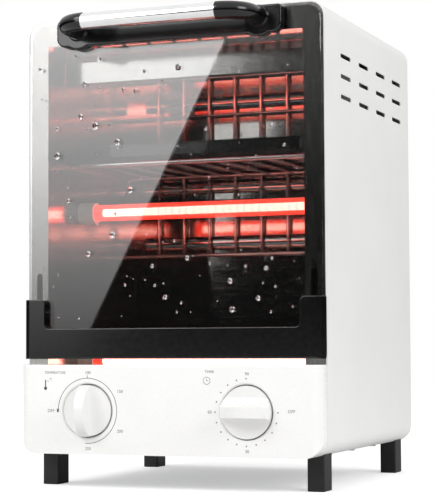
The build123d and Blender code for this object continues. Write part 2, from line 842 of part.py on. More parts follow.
make_cavity_side(-1, "cavity_side_left")
make_cavity_side(1, "cavity_side_right")

handle_places = [(side * leg_x, grip_z) for side in (-1, 1)]
top_strip_round = case_top_round - case_sheet - strip_gap
top_strip_high = case_top - case_sheet - strip_gap
with BuildPart() as cavity_top:
    with BuildSketch(level(cavity_ceiling_z)):
        with Locations((0, depth((cavity_back_y + liner_sheet) / 2))):
            Rectangle(2 * seam_flange, cavity_back_y - liner_sheet)
    extrude(amount=liner_sheet)
    with BuildSketch(facing(liner_sheet)) as top_strip:
        with Locations((0, (strip_high + top_strip_high) / 2)):
            Rectangle(2 * strip_outer, top_strip_high - strip_high)
        fillet(top_strip.vertices().group_by(Axis.Y)[-1], top_strip_round)
        with Locations(*handle_places):
            Circle(handle_recess_radius, mode=Mode.SUBTRACT)
    extrude(amount=liner_sheet)
    with BuildSketch(facing(top_return)):
        with Locations((0, case_top - case_sheet - liner_sheet / 2)):
            Rectangle(2 * cavity_half, liner_sheet)
    extrude(amount=top_return)
finish(cavity_top, "cavity_top")

with BuildPart() as cavity_floor:
    with BuildSketch(level(cavity_floor_z - liner_sheet)):
        with Locations((0, depth(cavity_back_y / 2))):
            Rectangle(2 * seam_flange, cavity_back_y - 2 * liner_sheet)
    extrude(amount=liner_sheet)
    with BuildSketch(level(cavity_floor_z - 2 * liner_sheet)):
        notch_y = depth(flange_start / 2 - overcut)
        with Locations(*[(side * (seam_flange - floor_gap), notch_y) for side in (-1, 1)]):
            Rectangle(2 * (seam_flange - cavity_half), flange_start + 2 * overcut)
    extrude(amount=3 * liner_sheet, mode=Mode.SUBTRACT)
    with BuildSketch(facing(2 * liner_sheet)):
        with Locations((0, cavity_floor_z - floor_lip / 2)):
            Rectangle(2 * (cavity_half - floor_gap), floor_lip)
    extrude(amount=liner_sheet)
finish(cavity_floor, "cavity_floor")

# Back of the cavity, with three shallow pressed ribs
with BuildPart() as cavity_back:
    with BuildSketch(sideways(0)):
        with Locations((depth(cavity_back_y + liner_sheet / 2), (cavity_floor_z + cavity_ceiling_z) / 2)):
            Rectangle(liner_sheet, cavity_ceiling_z - cavity_floor_z + 2 * liner_sheet)
    extrude(amount=seam_flange, both=True)
    for rib_z in rib_heights:
        with BuildSketch(sideways(0)):
            with Locations((depth(cavity_back_y + liner_sheet), rib_z)):
                Ellipse(rib_depth + liner_sheet, rib_radius)
            with Locations((depth(cavity_back_y + liner_sheet + rib_radius), rib_z)):
                Rectangle(2 * rib_radius, 2 * (rib_radius + overcut), mode=Mode.SUBTRACT)
        extrude(amount=rib_half, both=True)
        with BuildSketch(sideways(0)):
            with Locations((depth(cavity_back_y + liner_sheet), rib_z)):
                Ellipse(rib_depth, rib_radius - liner_sheet)
        extrude(amount=rib_half - liner_sheet, both=True, mode=Mode.SUBTRACT)
finish(cavity_back, "cavity_back")

# Ledges that carry the rack
rail_top = rack_z - rack_frame_radius
with BuildPart() as rack_rails:
    for side in (-1, 1):
        with BuildSketch(facing(rail_front)):
            with Locations((side * (rail_inner + cavity_half) / 2, rail_top - liner_sheet / 2)):
                Rectangle(cavity_half - rail_inner, liner_sheet)
            with Locations((side * (cavity_half - liner_sheet / 2), rail_top - rail_lip / 2)):
                Rectangle(liner_sheet, rail_lip)
        extrude(amount=rail_front - rack_back_y)
finish(rack_rails, "rack_rails")

with BuildSketch(level(rack_z)) as rack_loop:
    with Locations((0, depth((rack_front_y + rack_back_y) / 2))):
        RectangleRounded(2 * rack_half, rack_back_y - rack_front_y, rack_corner)
rack_path = rack_loop.sketch.wires()[0]

with BuildPart() as rack:
    with BuildSketch(Plane(origin=rack_path @ 0, z_dir=rack_path % 0)):
        Circle(rack_frame_radius)
    sweep(path=rack_path)
    with BuildSketch(facing(rack_front_y)):
        with Locations((0, rack_z)):
            with GridLocations(rack_pitch, 1, rack_wires, 1):
                Circle(rack_wire_radius)
    extrude(amount=-(rack_back_y - rack_front_y))
finish(rack, "rack")

# Enamel tray
with BuildPart() as tray:
    with BuildSketch(level(tray_bottom)):
        with Locations((0, depth((tray_front_y + tray_back_y) / 2))):
            RectangleRounded(2 * (tray_half - tray_rim), tray_length - 2 * tray_rim, tray_corner - tray_rim)
    extrude(amount=tray_height)
    fillet(tray.faces().sort_by(Axis.Z)[0].edges(), tray_fold)
    offset(amount=-tray_sheet, openings=tray.faces().sort_by(Axis.Z)[-1])
    with BuildSketch(level(tray_bottom + tray_height - tray_sheet)):
        with Locations((0, depth((tray_front_y + tray_back_y) / 2))):
            RectangleRounded(2 * tray_half, tray_length, tray_corner)
            RectangleRounded(
                2 * (tray_half - tray_rim) - tray_sheet, tray_length - 2 * tray_rim - tray_sheet,
                tray_corner - tray_rim - tray_sheet / 2, mode=Mode.SUBTRACT,
            )
    extrude(amount=tray_sheet)
finish(tray, "tray")

# Upper heater shield: a hanging plate with a row of openings near the ceiling
with BuildPart() as heater_shield:
    with BuildSketch(facing(shield_y)):
        with Locations((0, (shield_low + cavity_ceiling_z) / 2)):
            Rectangle(2 * shield_half, cavity_ceiling_z - shield_low)
        with Locations((0, shield_slot_z)):
            with GridLocations(shield_pitch, 1, shield_slots, 1):
                Rectangle(shield_slot_width, shield_slot_height, mode=Mode.SUBTRACT)
    extrude(amount=-liner_sheet)
    with BuildSketch(level(shield_low)):
        with Locations((0, depth(shield_y + shield_lower_lip / 2))):
            Rectangle(2 * shield_half, shield_lower_lip)
    extrude(amount=liner_sheet)
    with BuildSketch(level(cavity_ceiling_z - liner_sheet)):
        with Locations((0, depth(shield_y + shield_upper_lip / 2))):
            Rectangle(2 * shield_half, shield_upper_lip)
    extrude(amount=liner_sheet)
finish(heater_shield, "heater_shield")

# Wire guard on the back wall
with BuildPart() as back_guard:
    with BuildSketch(level(guard_low)):
        with Locations((0, depth(guard_y))):
            with GridLocations(guard_pitch, 1, guard_wires, 1):
                Circle(guard_radius)
    extrude(amount=guard_high - guard_low)
    with BuildSketch(sideways(0)):
        with Locations(*[(depth(guard_y - guard_bar_step), z) for z in guard_bars]):
            Circle(guard_bar_radius)
    extrude(amount=cavity_half, both=True)
finish(back_guard, "back_guard")

# Heaters
for place, height in tube_heights.items():
    with BuildPart() as tube:
        with BuildSketch(sideways(0)):
            with Locations((depth(tube_y), height)):
                Circle(tube_radius)
                Circle(tube_bore, mode=Mode.SUBTRACT)
        extrude(amount=tube_half_length, both=True)
    finish(tube, f"heater_tube_{place}")

with BuildPart() as tube_holders:
    for height in tube_heights.values():
        for side in (-1, 1):
            with BuildSketch(sideways(side * holder_inner_x)):
                with Locations((depth(tube_y), height)):
                    Circle(holder_radius)
            extrude(amount=side * (cavity_half - holder_inner_x))
            with BuildSketch(sideways(side * cavity_half)):
                with Locations((depth(tube_y), height)):
                    Circle(holder_neck_radius)
            extrude(amount=side * (holder_outer_x - cavity_half))
            with BuildSketch(sideways(side * (holder_inner_x - overcut))):
                with Locations((depth(tube_y), height)):
                    Circle(tube_radius + thread_clearance)
            extrude(amount=side * (tube_half_length - holder_inner_x + overcut), mode=Mode.SUBTRACT)
            with BuildSketch(sideways(side * tube_half_length)):
                with Locations((depth(tube_y), height)):
                    Circle(terminal_radius + thread_clearance)
            extrude(amount=side * (holder_outer_x - tube_half_length + overcut), mode=Mode.SUBTRACT)
finish(tube_holders, "tube_holders")

with BuildPart() as heating_coils:
    with BuildSketch(sideways(0)):
        with Locations(*[(depth(tube_y), height) for height in tube_heights.values()]):
            Circle(coil_radius)
    extrude(amount=coil_half, both=True)
finish(heating_coils, "heating_coils")

with BuildPart() as heater_terminals:
    for height in tube_heights.values():
        for side in (-1, 1):
            with BuildSketch(sideways(side * coil_half)):
                with Locations((depth(tube_y), height)):
                    Circle(terminal_radius)
            extrude(amount=side * (holder_outer_x + terminal_stub - coil_half))
            with BuildSketch(sideways(side * holder_outer_x)):
                with Locations((depth(tube_y), height)):
                    RegularPolygon(radius=terminal_nut_radius, side_count=6, major_radius=False)
            extrude(amount=side * terminal_nut_thick)
finish(heater_terminals, "heater_terminals")

# Over-temperature cut-out on top of the liner
with BuildPart() as thermal_cutout:
    with BuildSketch(level(cavity_ceiling_z + liner_sheet)):
        with Locations((0, depth(cutout_y))):
            SlotOverall(cutout_flange_length, cutout_flange_width)
    extrude(amount=tab_thick)
    with BuildSketch(level(cavity_ceiling_z + liner_sheet)):
        with Locations((0, depth(cutout_y))):
            Circle(cutout_radius)
    extrude(amount=cutout_height)
    with BuildSketch(level(cavity_ceiling_z + liner_sheet + cutout_height)):
        with Locations((-cutout_tab_x, depth(cutout_y)), (cutout_tab_x, depth(cutout_y))):
            Rectangle(tab_thick, cutout_tab_width)
    extrude(amount=cutout_tab_length)
finish(thermal_cutout, "thermal_cutout")

# Mains side: lead gland, terminal block, wiring
with BuildPart() as cord_gland:
    with BuildSketch(facing(back_panel_outer)):
        with Locations((gland_x, gland_z)):
            Circle(gland_flange_radius)
    extrude(amount=-gland_flange)
    fillet(cord_gland.faces().sort_by(Axis.Y)[-1].edges(), gland_edge)
    with BuildSketch(facing(back_panel_outer + gland_flange)):
        with Locations((gland_x, gland_z)):
            Circle(gland_collar_radius)
    extrude(amount=-(gland_reach + case_sheet - gland_flange), taper=6)
    with BuildSketch(facing(back_panel_outer)):
        with Locations((gland_x, gland_z)):
            Circle(gland_neck)
    extrude(amount=case_sheet)
    with BuildSketch(facing(back_panel_outer - case_sheet)):
        with Locations((gland_x, gland_z)):
            Circle(gland_nut_radius)
    extrude(amount=gland_nut)
    with BuildSketch(facing(case_depth + gland_reach + overcut)):
        with Locations((gland_x, gland_z)):
            Circle(gland_bore)
    extrude(amount=gland_reach + 2 * (case_sheet + gland_nut + overcut), mode=Mode.SUBTRACT)
finish(cord_gland, "cord_gland")

block_z = base_plate_z + case_sheet
block_wire_z = block_z + block_entry_height
with BuildPart() as terminal_block:
    with BuildSketch(level(block_z)):
        with Locations((block_x, depth(block_y))):
            RectangleRounded(block_length, block_width, block_corner)
    extrude(amount=block_height)
    with BuildSketch(level(block_z + block_height)):
        with Locations((block_x, depth(block_y))):
            with GridLocations(block_pitch, 1, block_poles, 1):
                Circle(block_screw_radius)
    extrude(amount=-block_screw_depth, mode=Mode.SUBTRACT)
    for side in (-1, 1):
        with BuildSketch(facing(block_y + side * (block_width / 2 + overcut))):
            with Locations((block_x, block_wire_z)):
                with GridLocations(block_pitch, 1, block_poles, 1):
                    Circle(block_entry_radius)
        extrude(amount=side * (block_entry_depth + overcut), mode=Mode.SUBTRACT)
finish(terminal_block, "terminal_block")

# Wires: each one leaves the block or a control and ends on the next terminal
wire_start = depth(block_y - block_width / 2 + 2.5)
wire_clear = depth(block_y - 25.0)
control_wire_end = depth(plate_back + timer_depth + tab_length + 0.6)
thermostat_wire_end = depth(plate_back + thermostat_depth + tab_length + 0.6)
timer_tab_z = knob_z - timer_tab_drop
thermostat_left = -knob_x - thermostat_tab_x
thermostat_right = -knob_x + thermostat_tab_x
timer_left = knob_x - timer_tab_x
timer_right = knob_x + timer_tab_x
wire_runs = [
    [(block_x - block_pitch, wire_start, block_wire_z), (block_x - block_pitch, wire_clear, block_wire_z),
     (0, depth(120.0), block_wire_z), (thermostat_right, depth(60.0), timer_tab_z - 3.0),
     (thermostat_right, thermostat_wire_end, knob_z)],
    [(block_x, wire_start, block_wire_z), (block_x, depth(120.0), block_wire_z),
     (timer_left, depth(60.0), timer_tab_z - 6.0), (timer_left, control_wire_end, timer_tab_z)],
    [(block_x + block_pitch, wire_start, block_wire_z), (block_x + block_pitch, wire_clear, block_wire_z),
     (half_width - 29.0, depth(120.0), block_wire_z), (half_width - 29.0, depth(70.0), timer_tab_z - 10.0),
     (timer_right, depth(48.0), timer_tab_z - 4.0), (timer_right, control_wire_end, timer_tab_z)],
    [(thermostat_left, thermostat_wire_end, knob_z), (thermostat_left, depth(45.0), knob_z),
     (riser_x + 19.0, depth(62.0), knob_z), (riser_x, depth(riser_y), knob_z + 6.0),
     (riser_x, depth(riser_y), tube_heights["upper"] - 7.0),
     (riser_x + 0.5, depth(tube_y + 5.8), tube_heights["upper"])],
]
with BuildPart() as wiring_loom:
    for run in wire_runs:
        with BuildLine() as route:
            FilletPolyline(*run, radius=wire_bend)
        with BuildSketch(Plane(origin=route.line @ 0, z_dir=route.line % 0)):
            Circle(wire_radius)
        sweep(path=route.wires()[0])
finish(wiring_loom, "wiring_loom")

# Door pane: tempered glass, its lower corners cut back behind the trim's posts
with BuildPart() as door_glass:
    with BuildSketch(facing(glass_back)) as pane:
        with Locations((0, (glass_low + glass_high) / 2)):
            Rectangle(2 * glass_half, glass_high - glass_low)
        fillet(pane.vertices().group_by(Axis.Y)[-1], glass_corner)
        for side in (-1, 1):
            with Locations((side * (glass_notch_x + glass_notch), glass_notch_z - glass_notch_z / 4)):
                Rectangle(2 * glass_notch, glass_notch_z / 2, mode=Mode.SUBTRACT)
        with Locations(*handle_places):
            Circle(handle_hole_radius, mode=Mode.SUBTRACT)
    extrude(amount=glass_back - glass_front)
    chamfer(door_glass.faces().sort_by(Axis.Y)[0].outer_wire().edges(), glass_edge)
finish(door_glass, "door_glass")

# Door trim: a bar under the pane with a raised post at each end
with BuildPart() as door_trim:
    with BuildSketch(sideways(0)) as end_view:
        with Locations((depth((trim_front + trim_back) / 2), (trim_low + trim_post_high) / 2)):
            Rectangle(trim_back - trim_front, trim_post_high - trim_low)
        fillet(end_view.vertices().group_by(Axis.Y)[0].sort_by(Axis.X)[0], trim_toe_round)
        fillet(end_view.vertices().group_by(Axis.Y)[0].sort_by(Axis.X)[-1], trim_heel_round)
    extrude(amount=half_width, both=True)
    with BuildSketch(level(trim_low)) as plan:
        with Locations((0, depth((trim_front + trim_back) / 2))):
            Rectangle(case_width, trim_back - trim_front)
        fillet(plan.vertices().group_by(Axis.Y)[0], trim_side_round)
    extrude(amount=trim_post_high - trim_low, mode=Mode.INTERSECT)
    with BuildSketch(facing(trim_back)) as front_view:
        with Locations((0, (trim_low + trim_post_high) / 2)):
            Rectangle(case_width, trim_post_high - trim_low)
        with Locations((0, (trim_bar_high + trim_pocket_high) / 2)):
            Rectangle(2 * trim_post_inner, trim_pocket_high - trim_bar_high, mode=Mode.SUBTRACT)
        post_tops = front_view.vertices().group_by(Axis.Y)[-1]
        fillet([v for v in post_tops if abs(v.X) < half_width - 1], trim_post_round)
        fillet([v for v in front_view.vertices() if abs(v.Y - trim_bar_high) < 0.01], trim_inner_round)
    extrude(amount=trim_back - trim_front, mode=Mode.INTERSECT)
    brim = [
        e for e in door_trim.faces().filter_by(GeomType.PLANE).sort_by(Axis.Y)[0].edges()
        if e.center().Z > trim_low + 10 and abs(e.center().X) < trim_post_inner + 15
    ]
    upper = trim_bar_high + 16
    fillet([e for e in brim if abs(e.center().X) < trim_post_inner + 1 or e.center().Z > upper], trim_brim)
    with BuildSketch(facing(trim_back + overcut)):
        with Locations((0, (glass_low - glass_gap + trim_pocket_high) / 2)):
            Rectangle(2 * (glass_notch_x + glass_gap), trim_pocket_high - glass_low + glass_gap)
        with Locations((0, (glass_notch_z - glass_gap + trim_pocket_high) / 2)):
            Rectangle(2 * (glass_half + glass_gap), trim_pocket_high - glass_notch_z + glass_gap)
    extrude(amount=trim_back + overcut - glass_front, mode=Mode.SUBTRACT)
    for side in (-1, 1):
        pocket_x = ear_inner - ear_gap if side > 0 else -(ear_inner + ear_thick + ear_gap)
        with BuildSketch(sideways(pocket_x)):
            with Locations((depth(hinge_y), hinge_z)):
                Circle(ear_radius + ear_gap)
            with Locations((depth(hinge_y + ear_sweep / 2), hinge_z)):
                Rectangle(ear_sweep, 2 * (ear_radius + ear_gap))
            with Locations((depth(hinge_y), hinge_z - ear_sweep / 2)):
                Rectangle(2 * (ear_radius + ear_gap), ear_sweep)
            with Locations((depth(hinge_y + ear_sweep / 2), hinge_z - ear_sweep / 2)):
                Rectangle(ear_sweep, ear_sweep)
        extrude(amount=ear_thick + 2 * ear_gap, mode=Mode.SUBTRACT)
        with BuildSketch(sideways(side * glass_notch_x)):
            with Locations((depth(hinge_y), hinge_z)):
                Circle(pin_radius + pin_press)
        extrude(amount=side * pin_hole, mode=Mode.SUBTRACT)
        with BuildSketch(sideways(side * (arm_x + arm_thick / 2))):
            with Locations((depth((hinge_y - arm_toe + trim_back) / 2), hinge_z + arm_radius - ear_gap)):
                Rectangle(trim_back - hinge_y + arm_toe + 2 * ear_slot_gap, arm_width + overcut)
        extrude(amount=arm_thick / 2 + arm_pocket_gap, both=True, mode=Mode.SUBTRACT)
        with BuildSketch(sideways(side * glass_notch_x)):
            with Locations((depth(rivet_y), hinge_z + arm_radius)):
                Circle(rivet_radius + rivet_fit)
        extrude(amount=side * rivet_hole, mode=Mode.SUBTRACT)
finish(door_trim, "door_trim")

with BuildPart() as hinge_pins:
    for side in (-1, 1):
        with BuildSketch(sideways(side * (glass_notch_x + glass_gap))):
            with Locations((depth(hinge_y), hinge_z)):
                Circle(pin_radius)
        extrude(amount=side * pin_length)
finish(hinge_pins, "hinge_pins")

# Hinge ears: small brackets behind the front strips, each with a tongue through the strip
with BuildPart() as hinge_ears:
    for side in (-1, 1):
        inner_x = side * ear_inner if side > 0 else side * (ear_inner + ear_thick)
        with BuildSketch(sideways(inner_x)):
            with Locations((depth(hinge_y), hinge_z)):
                Circle(ear_radius)
            with Locations((depth((hinge_y + liner_sheet + ear_plate) / 2), hinge_z)):
                Rectangle(liner_sheet + ear_plate - hinge_y, 2 * ear_radius)
            with Locations((depth(hinge_y), hinge_z)):
                Circle(pin_radius + pin_fit, mode=Mode.SUBTRACT)
        extrude(amount=ear_thick)
        with BuildSketch(facing(liner_sheet)):
            with Locations((side * (ear_inner + ear_plate_width / 2), hinge_z)):
                RectangleRounded(ear_plate_width, ear_plate_height, ear_plate_corner)
        extrude(amount=-ear_plate)
finish(hinge_ears, "hinge_ears")

# Hinge arms: flat arcs about the hinge line, let into the posts and guided by the strips' slots
with BuildPart() as hinge_arms:
    for side in (-1, 1):
        inner_x = arm_x if side > 0 else -(arm_x + arm_thick)
        with BuildSketch(sideways(inner_x)):
            with BuildLine():
                for edge_radius in (arm_radius + arm_width / 2, arm_radius - arm_width / 2):
                    CenterArc((depth(hinge_y), hinge_z), edge_radius, arm_tail_angle, 90 - arm_tail_angle)
                Line(
                    (depth(hinge_y), hinge_z + arm_radius - arm_width / 2),
                    (depth(hinge_y), hinge_z + arm_radius + arm_width / 2),
                )
                tail = radians(arm_tail_angle)
                Line(
                    (depth(hinge_y) + (arm_radius - arm_width / 2) * cos(tail),
                     hinge_z + (arm_radius - arm_width / 2) * sin(tail)),
                    (depth(hinge_y) + (arm_radius + arm_width / 2) * cos(tail),
                     hinge_z + (arm_radius + arm_width / 2) * sin(tail)),
                )
            make_face()
            with Locations((depth(hinge_y - arm_toe / 2), hinge_z + arm_radius)):
                Rectangle(arm_toe, arm_width)
            stop = radians(arm_stop_angle)
            with Locations(
                (depth(rivet_y), hinge_z + arm_radius),
                (depth(hinge_y) + arm_radius * cos(stop), hinge_z + arm_radius * sin(stop)),
            ):
                Circle(rivet_radius + rivet_fit, mode=Mode.SUBTRACT)
        extrude(amount=arm_thick)
finish(hinge_arms, "hinge_arms")

with BuildPart() as arm_rivets:
    for side in (-1, 1):
        with BuildSketch(sideways(side * (glass_notch_x + glass_gap))):
            with Locations((depth(rivet_y), hinge_z + arm_radius)):
                Circle(rivet_radius)
        extrude(amount=side * rivet_length)
        stop = radians(arm_stop_angle)
        with BuildSketch(sideways(side * (arm_x + (arm_thick - stop_rivet_length) / 2))):
            with Locations((depth(hinge_y) + arm_radius * cos(stop), hinge_z + arm_radius * sin(stop))):
                Circle(rivet_radius)
        extrude(amount=side * stop_rivet_length)
finish(arm_rivets, "arm_rivets")

# Handle: a base bar on the glass, two elbows and a bright tube
with BuildPart() as handle_base:
    with BuildSketch(facing(glass_front)) as bar:
        with Locations((0, (bar_low + bar_high) / 2)):
            Rectangle(2 * bar_half, bar_high - bar_low)
        fillet(bar.vertices().group_by(Axis.Y)[0], bar_round)
        fillet(bar.vertices().group_by(Axis.Y)[-1], bar_top_round)
        for x, z in handle_places:
            with Locations((x, z - bar_ear_drop)):
                Circle(bar_ear_radius)
        with Locations((0, bar_high + bar_ear_radius / 2)):
            Rectangle(case_width, bar_ear_radius, mode=Mode.SUBTRACT)
    extrude(amount=glass_front - bar_front)
    fillet(handle_base.faces().sort_by(Axis.Y)[0].edges(), bar_edge)
    with BuildSketch(facing(0)):
        with Locations(*handle_places):
            Circle(handle_screw_radius + thread_clearance)
    extrude(amount=overcut - bar_front, mode=Mode.SUBTRACT)
finish(handle_base, "handle_base")

for side, name in ((-1, "handle_elbow_left"), (1, "handle_elbow_right")):
    with BuildPart() as elbow:
        with BuildLine() as bend:
            Line((side * leg_x, depth(bar_front), grip_z), (side * leg_x, depth(leg_straight_y), grip_z))
            RadiusArc(
                (side * leg_x, depth(leg_straight_y), grip_z), (side * grip_half, depth(grip_y), grip_z),
                radius=side * elbow_bend,
            )
        with BuildSketch(facing(bar_front)):
            with Locations((side * leg_x, grip_z)):
                Circle(elbow_radius)
        sweep(path=bend.wires()[0])
        with BuildSketch(facing(bar_front)):
            with Locations((side * leg_x, grip_z)):
                Circle(collar_radius)
        extrude(amount=collar_height, taper=30)
        with BuildSketch(sideways(side * grip_half)):
            with Locations((depth(grip_y), grip_z)):
                Circle(grip_radius - grip_wall - thread_clearance)
        extrude(amount=-side * spigot_length)
        with BuildSketch(facing(bar_front)):
            with Locations((side * leg_x, grip_z)):
                Circle(handle_screw_radius + thread_clearance)
        extrude(amount=handle_screw_bore, mode=Mode.SUBTRACT)
    finish(elbow, name)

with BuildPart() as handle_tube:
    with BuildSketch(sideways(0)):
        with Locations((depth(grip_y), grip_z)):
            Circle(grip_radius)
            Circle(grip_radius - grip_wall, mode=Mode.SUBTRACT)
    extrude(amount=grip_half, both=True)
finish(handle_tube, "handle_tube")

with BuildPart() as handle_washers:
    with BuildSketch(facing(glass_back + handle_washer)):
        with Locations(*handle_places):
            Circle(washer_radius)
            Circle(handle_screw_radius + thread_clearance, mode=Mode.SUBTRACT)
    extrude(amount=handle_washer)
    with BuildSketch(facing(glass_back)):
        with Locations(*handle_places):
            Circle(handle_hole_radius - thread_clearance)
            Circle(handle_screw_radius + thread_clearance, mode=Mode.SUBTRACT)
    extrude(amount=glass_back - glass_front)
finish(handle_washers, "handle_washers")

with BuildPart() as handle_screws:
    with BuildSketch(facing(glass_back + handle_washer)):
        with Locations(*handle_places):
            Circle(handle_screw_radius)
    extrude(amount=glass_back + handle_washer - bar_front + handle_screw_grip)
    with BuildSketch(facing(glass_back + handle_washer)):
        with Locations(*handle_places):
            Circle(handle_head_radius)
    extrude(amount=-handle_head_height)
    fillet(handle_screws.faces().group_by(Axis.Y)[-1].edges(), handle_head_round)
finish(handle_screws, "handle_screws")
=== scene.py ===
"""Finishes, printed marks, water drops, floor, lights and camera for a bench dry heat sterilizer.

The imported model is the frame. Every node gets a finish, and the pieces that the solids leave out, the
printed marks and the drops on the pane, are added in the same frame, in metres.
"""

import bmesh
import bpy
import numpy as np
from math import cos, pi, radians, sin
from mathutils import Matrix, Vector


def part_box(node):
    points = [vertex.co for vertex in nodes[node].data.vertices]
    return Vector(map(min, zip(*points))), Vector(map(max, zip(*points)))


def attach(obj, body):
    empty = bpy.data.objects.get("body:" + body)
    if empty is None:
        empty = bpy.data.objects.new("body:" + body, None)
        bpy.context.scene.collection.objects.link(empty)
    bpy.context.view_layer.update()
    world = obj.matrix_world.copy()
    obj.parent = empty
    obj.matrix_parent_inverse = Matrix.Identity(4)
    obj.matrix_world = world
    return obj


bl_info = {
    "name": "Dry Heat Sterilizer",
    "version": (1, 0, 0),
    "blender": (4, 5, 0),
    "location": "3D View > Sidebar > Sterilizer",
    "description": "Dresses the bench dry heat sterilizer and sets up its studio",
    "category": "Object",
}

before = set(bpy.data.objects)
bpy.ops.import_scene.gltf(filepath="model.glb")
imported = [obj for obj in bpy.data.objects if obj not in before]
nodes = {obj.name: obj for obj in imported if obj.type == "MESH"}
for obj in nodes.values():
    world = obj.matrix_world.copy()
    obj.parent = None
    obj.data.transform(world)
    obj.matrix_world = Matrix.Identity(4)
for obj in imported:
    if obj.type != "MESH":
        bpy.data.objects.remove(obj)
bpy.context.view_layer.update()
MM = 0.001

PANEL_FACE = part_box("control_panel")[0][1]
PANE_LOW, PANE_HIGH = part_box("door_glass")
PANE_FACE = PANE_LOW[1]


def middle(name):
    """The middle of a node's box."""
    low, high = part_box(name)
    return Vector([(a + b) / 2 for a, b in zip(low, high)])


LEFT_DIAL = middle("temperature_shaft")
RIGHT_DIAL = middle("timer_shaft")


def linear(code):
    """An sRGB hex colour as linear red, green, blue and alpha."""
    channels = [int(code[i:i + 2], 16) / 255 for i in (1, 3, 5)]
    return (*[c / 12.92 if c <= 0.04045 else ((c + 0.055) / 1.055) ** 2.4 for c in channels], 1.0)


class SterilizerFinish(bpy.types.PropertyGroup):
    coat_light: bpy.props.FloatVectorProperty(
        name="Powder coat", description="White of the folded case", size=4, subtype="COLOR",
        default=linear("#F1F1EF"), min=0, max=1)
    front_light: bpy.props.FloatVectorProperty(
        name="Front moulding", description="White of the control panel", size=4, subtype="COLOR",
        default=linear("#F7F7F5"), min=0, max=1)
    knob_light: bpy.props.FloatVectorProperty(
        name="Knobs", description="White of the knobs", size=4, subtype="COLOR",
        default=linear("#F2F2F0"), min=0, max=1)
    black: bpy.props.FloatVectorProperty(
        name="Black mouldings", description="Black of the trim and the handle ends", size=4, subtype="COLOR",
        default=linear("#0A0A0A"), min=0, max=1)
    glow: bpy.props.FloatVectorProperty(
        name="Glow", description="Light of the hot quartz", size=4, subtype="COLOR",
        default=linear("#FF3A2C"), min=0, max=1)
    core: bpy.props.FloatVectorProperty(
        name="Coil", description="Light of the coil inside the quartz", size=4, subtype="COLOR",
        default=linear("#FFC4B4"), min=0, max=1)
    glow_strength: bpy.props.FloatProperty(
        name="Glow strength", description="How bright the quartz shines", default=3.2, min=0)
    core_strength: bpy.props.FloatProperty(
        name="Coil strength", description="How bright the coil shines", default=10.0, min=0)
    pane_cover: bpy.props.FloatProperty(
        name="Pane tint", description="Share of light that each face of the pane stops",
        subtype="FACTOR", default=0.34, min=0, max=1)


class SterilizerMarks(bpy.types.PropertyGroup):
    ink: bpy.props.FloatVectorProperty(
        name="Ink", description="Colour of the printed marks", size=4, subtype="COLOR",
        default=linear("#3C3C3A"), min=0, max=1)
    ring_radius: bpy.props.FloatProperty(
        name="Dial radius", description="Radius of the printed scales", default=25.2 * MM, unit="LENGTH")
    dot_radius: bpy.props.FloatProperty(
        name="Dot radius", description="Radius of a scale dot", default=0.55 * MM, unit="LENGTH")
    line_width: bpy.props.FloatProperty(
        name="Line width", description="Width of a scale line", default=0.45 * MM, unit="LENGTH")
    fine_width: bpy.props.FloatProperty(
        name="Fine line", description="Width of a line in a symbol", default=0.35 * MM, unit="LENGTH")
    letter_height: bpy.props.FloatProperty(
        name="Letter size", description="Size of the dial numbers", default=3.3 * MM, unit="LENGTH")


class SterilizerDrops(bpy.types.PropertyGroup):
    count: bpy.props.IntProperty(
        name="Small drops", description="How many small drops lie on the pane", default=115, min=0)
    seed: bpy.props.IntProperty(
        name="Seed", description="Changes where the small drops lie", default=11)
    smallest: bpy.props.FloatProperty(
        name="Smallest", description="Radius of the smallest drop", default=0.45 * MM, unit="LENGTH")
    largest: bpy.props.FloatProperty(
        name="Largest", description="Radius of the largest small drop", default=1.25 * MM, unit="LENGTH")


class SterilizerStage(bpy.types.PropertyGroup):
    ambient: bpy.props.FloatProperty(
        name="Ambient", description="Strength of the white surround", default=0.74, min=0)
    key_power: bpy.props.FloatProperty(
        name="Key lamp", description="Power of the lamp at the front left", default=21.0, unit="POWER")
    side_power: bpy.props.FloatProperty(
        name="Side lamp", description="Power of the lamp at the right", default=15.0, unit="POWER")
    panel_strength: bpy.props.FloatProperty(
        name="Light panel", description="Brightness of the panel that the pane mirrors", default=5.6, min=0)
    floor_lift: bpy.props.FloatProperty(
        name="Floor lift", description="How much the floor glows to the camera", default=0.45, min=0)
    lens: bpy.props.FloatProperty(
        name="Lens", description="Focal length in millimetres over a 36 mm frame", default=122.46,
        subtype="DISTANCE_CAMERA")


# Most of a noise's values lie between these two.
NOISE_LOW = 0.3
NOISE_HIGH = 0.7
# A wave texture of scale 1 repeats after this many metres, so a pitch's scale is this length over it.
WAVE_REPEAT = 2 * pi / 20


def add_node(tree, kind, settings=None, values=None, links=None):
    """Adds a shader node, gives it its settings and socket values, and links outputs into its inputs."""
    made = tree.nodes.new(kind)
    for name, value in (settings or {}).items():
        setattr(made, name, value)
    for name, value in (values or {}).items():
        made.inputs[name].default_value = value
    for name, output in (links or {}).items():
        tree.links.new(output, made.inputs[name])
    return made


def start_material(name, **values):
    """A material with a Principled shader, its Object coordinates and the shader's plain socket values."""
    material = bpy.data.materials.new(name)
    material.use_nodes = True
    tree = material.node_tree
    tree.nodes.clear()
    sockets = {key.replace("_", " "): value for key, value in values.items()}
    shader = add_node(tree, "ShaderNodeBsdfPrincipled", None, sockets)
    add_node(tree, "ShaderNodeOutputMaterial", None, None, {"Surface": shader.outputs["BSDF"]})
    place = add_node(tree, "ShaderNodeTexCoord").outputs["Object"]
    return material, tree, shader, place


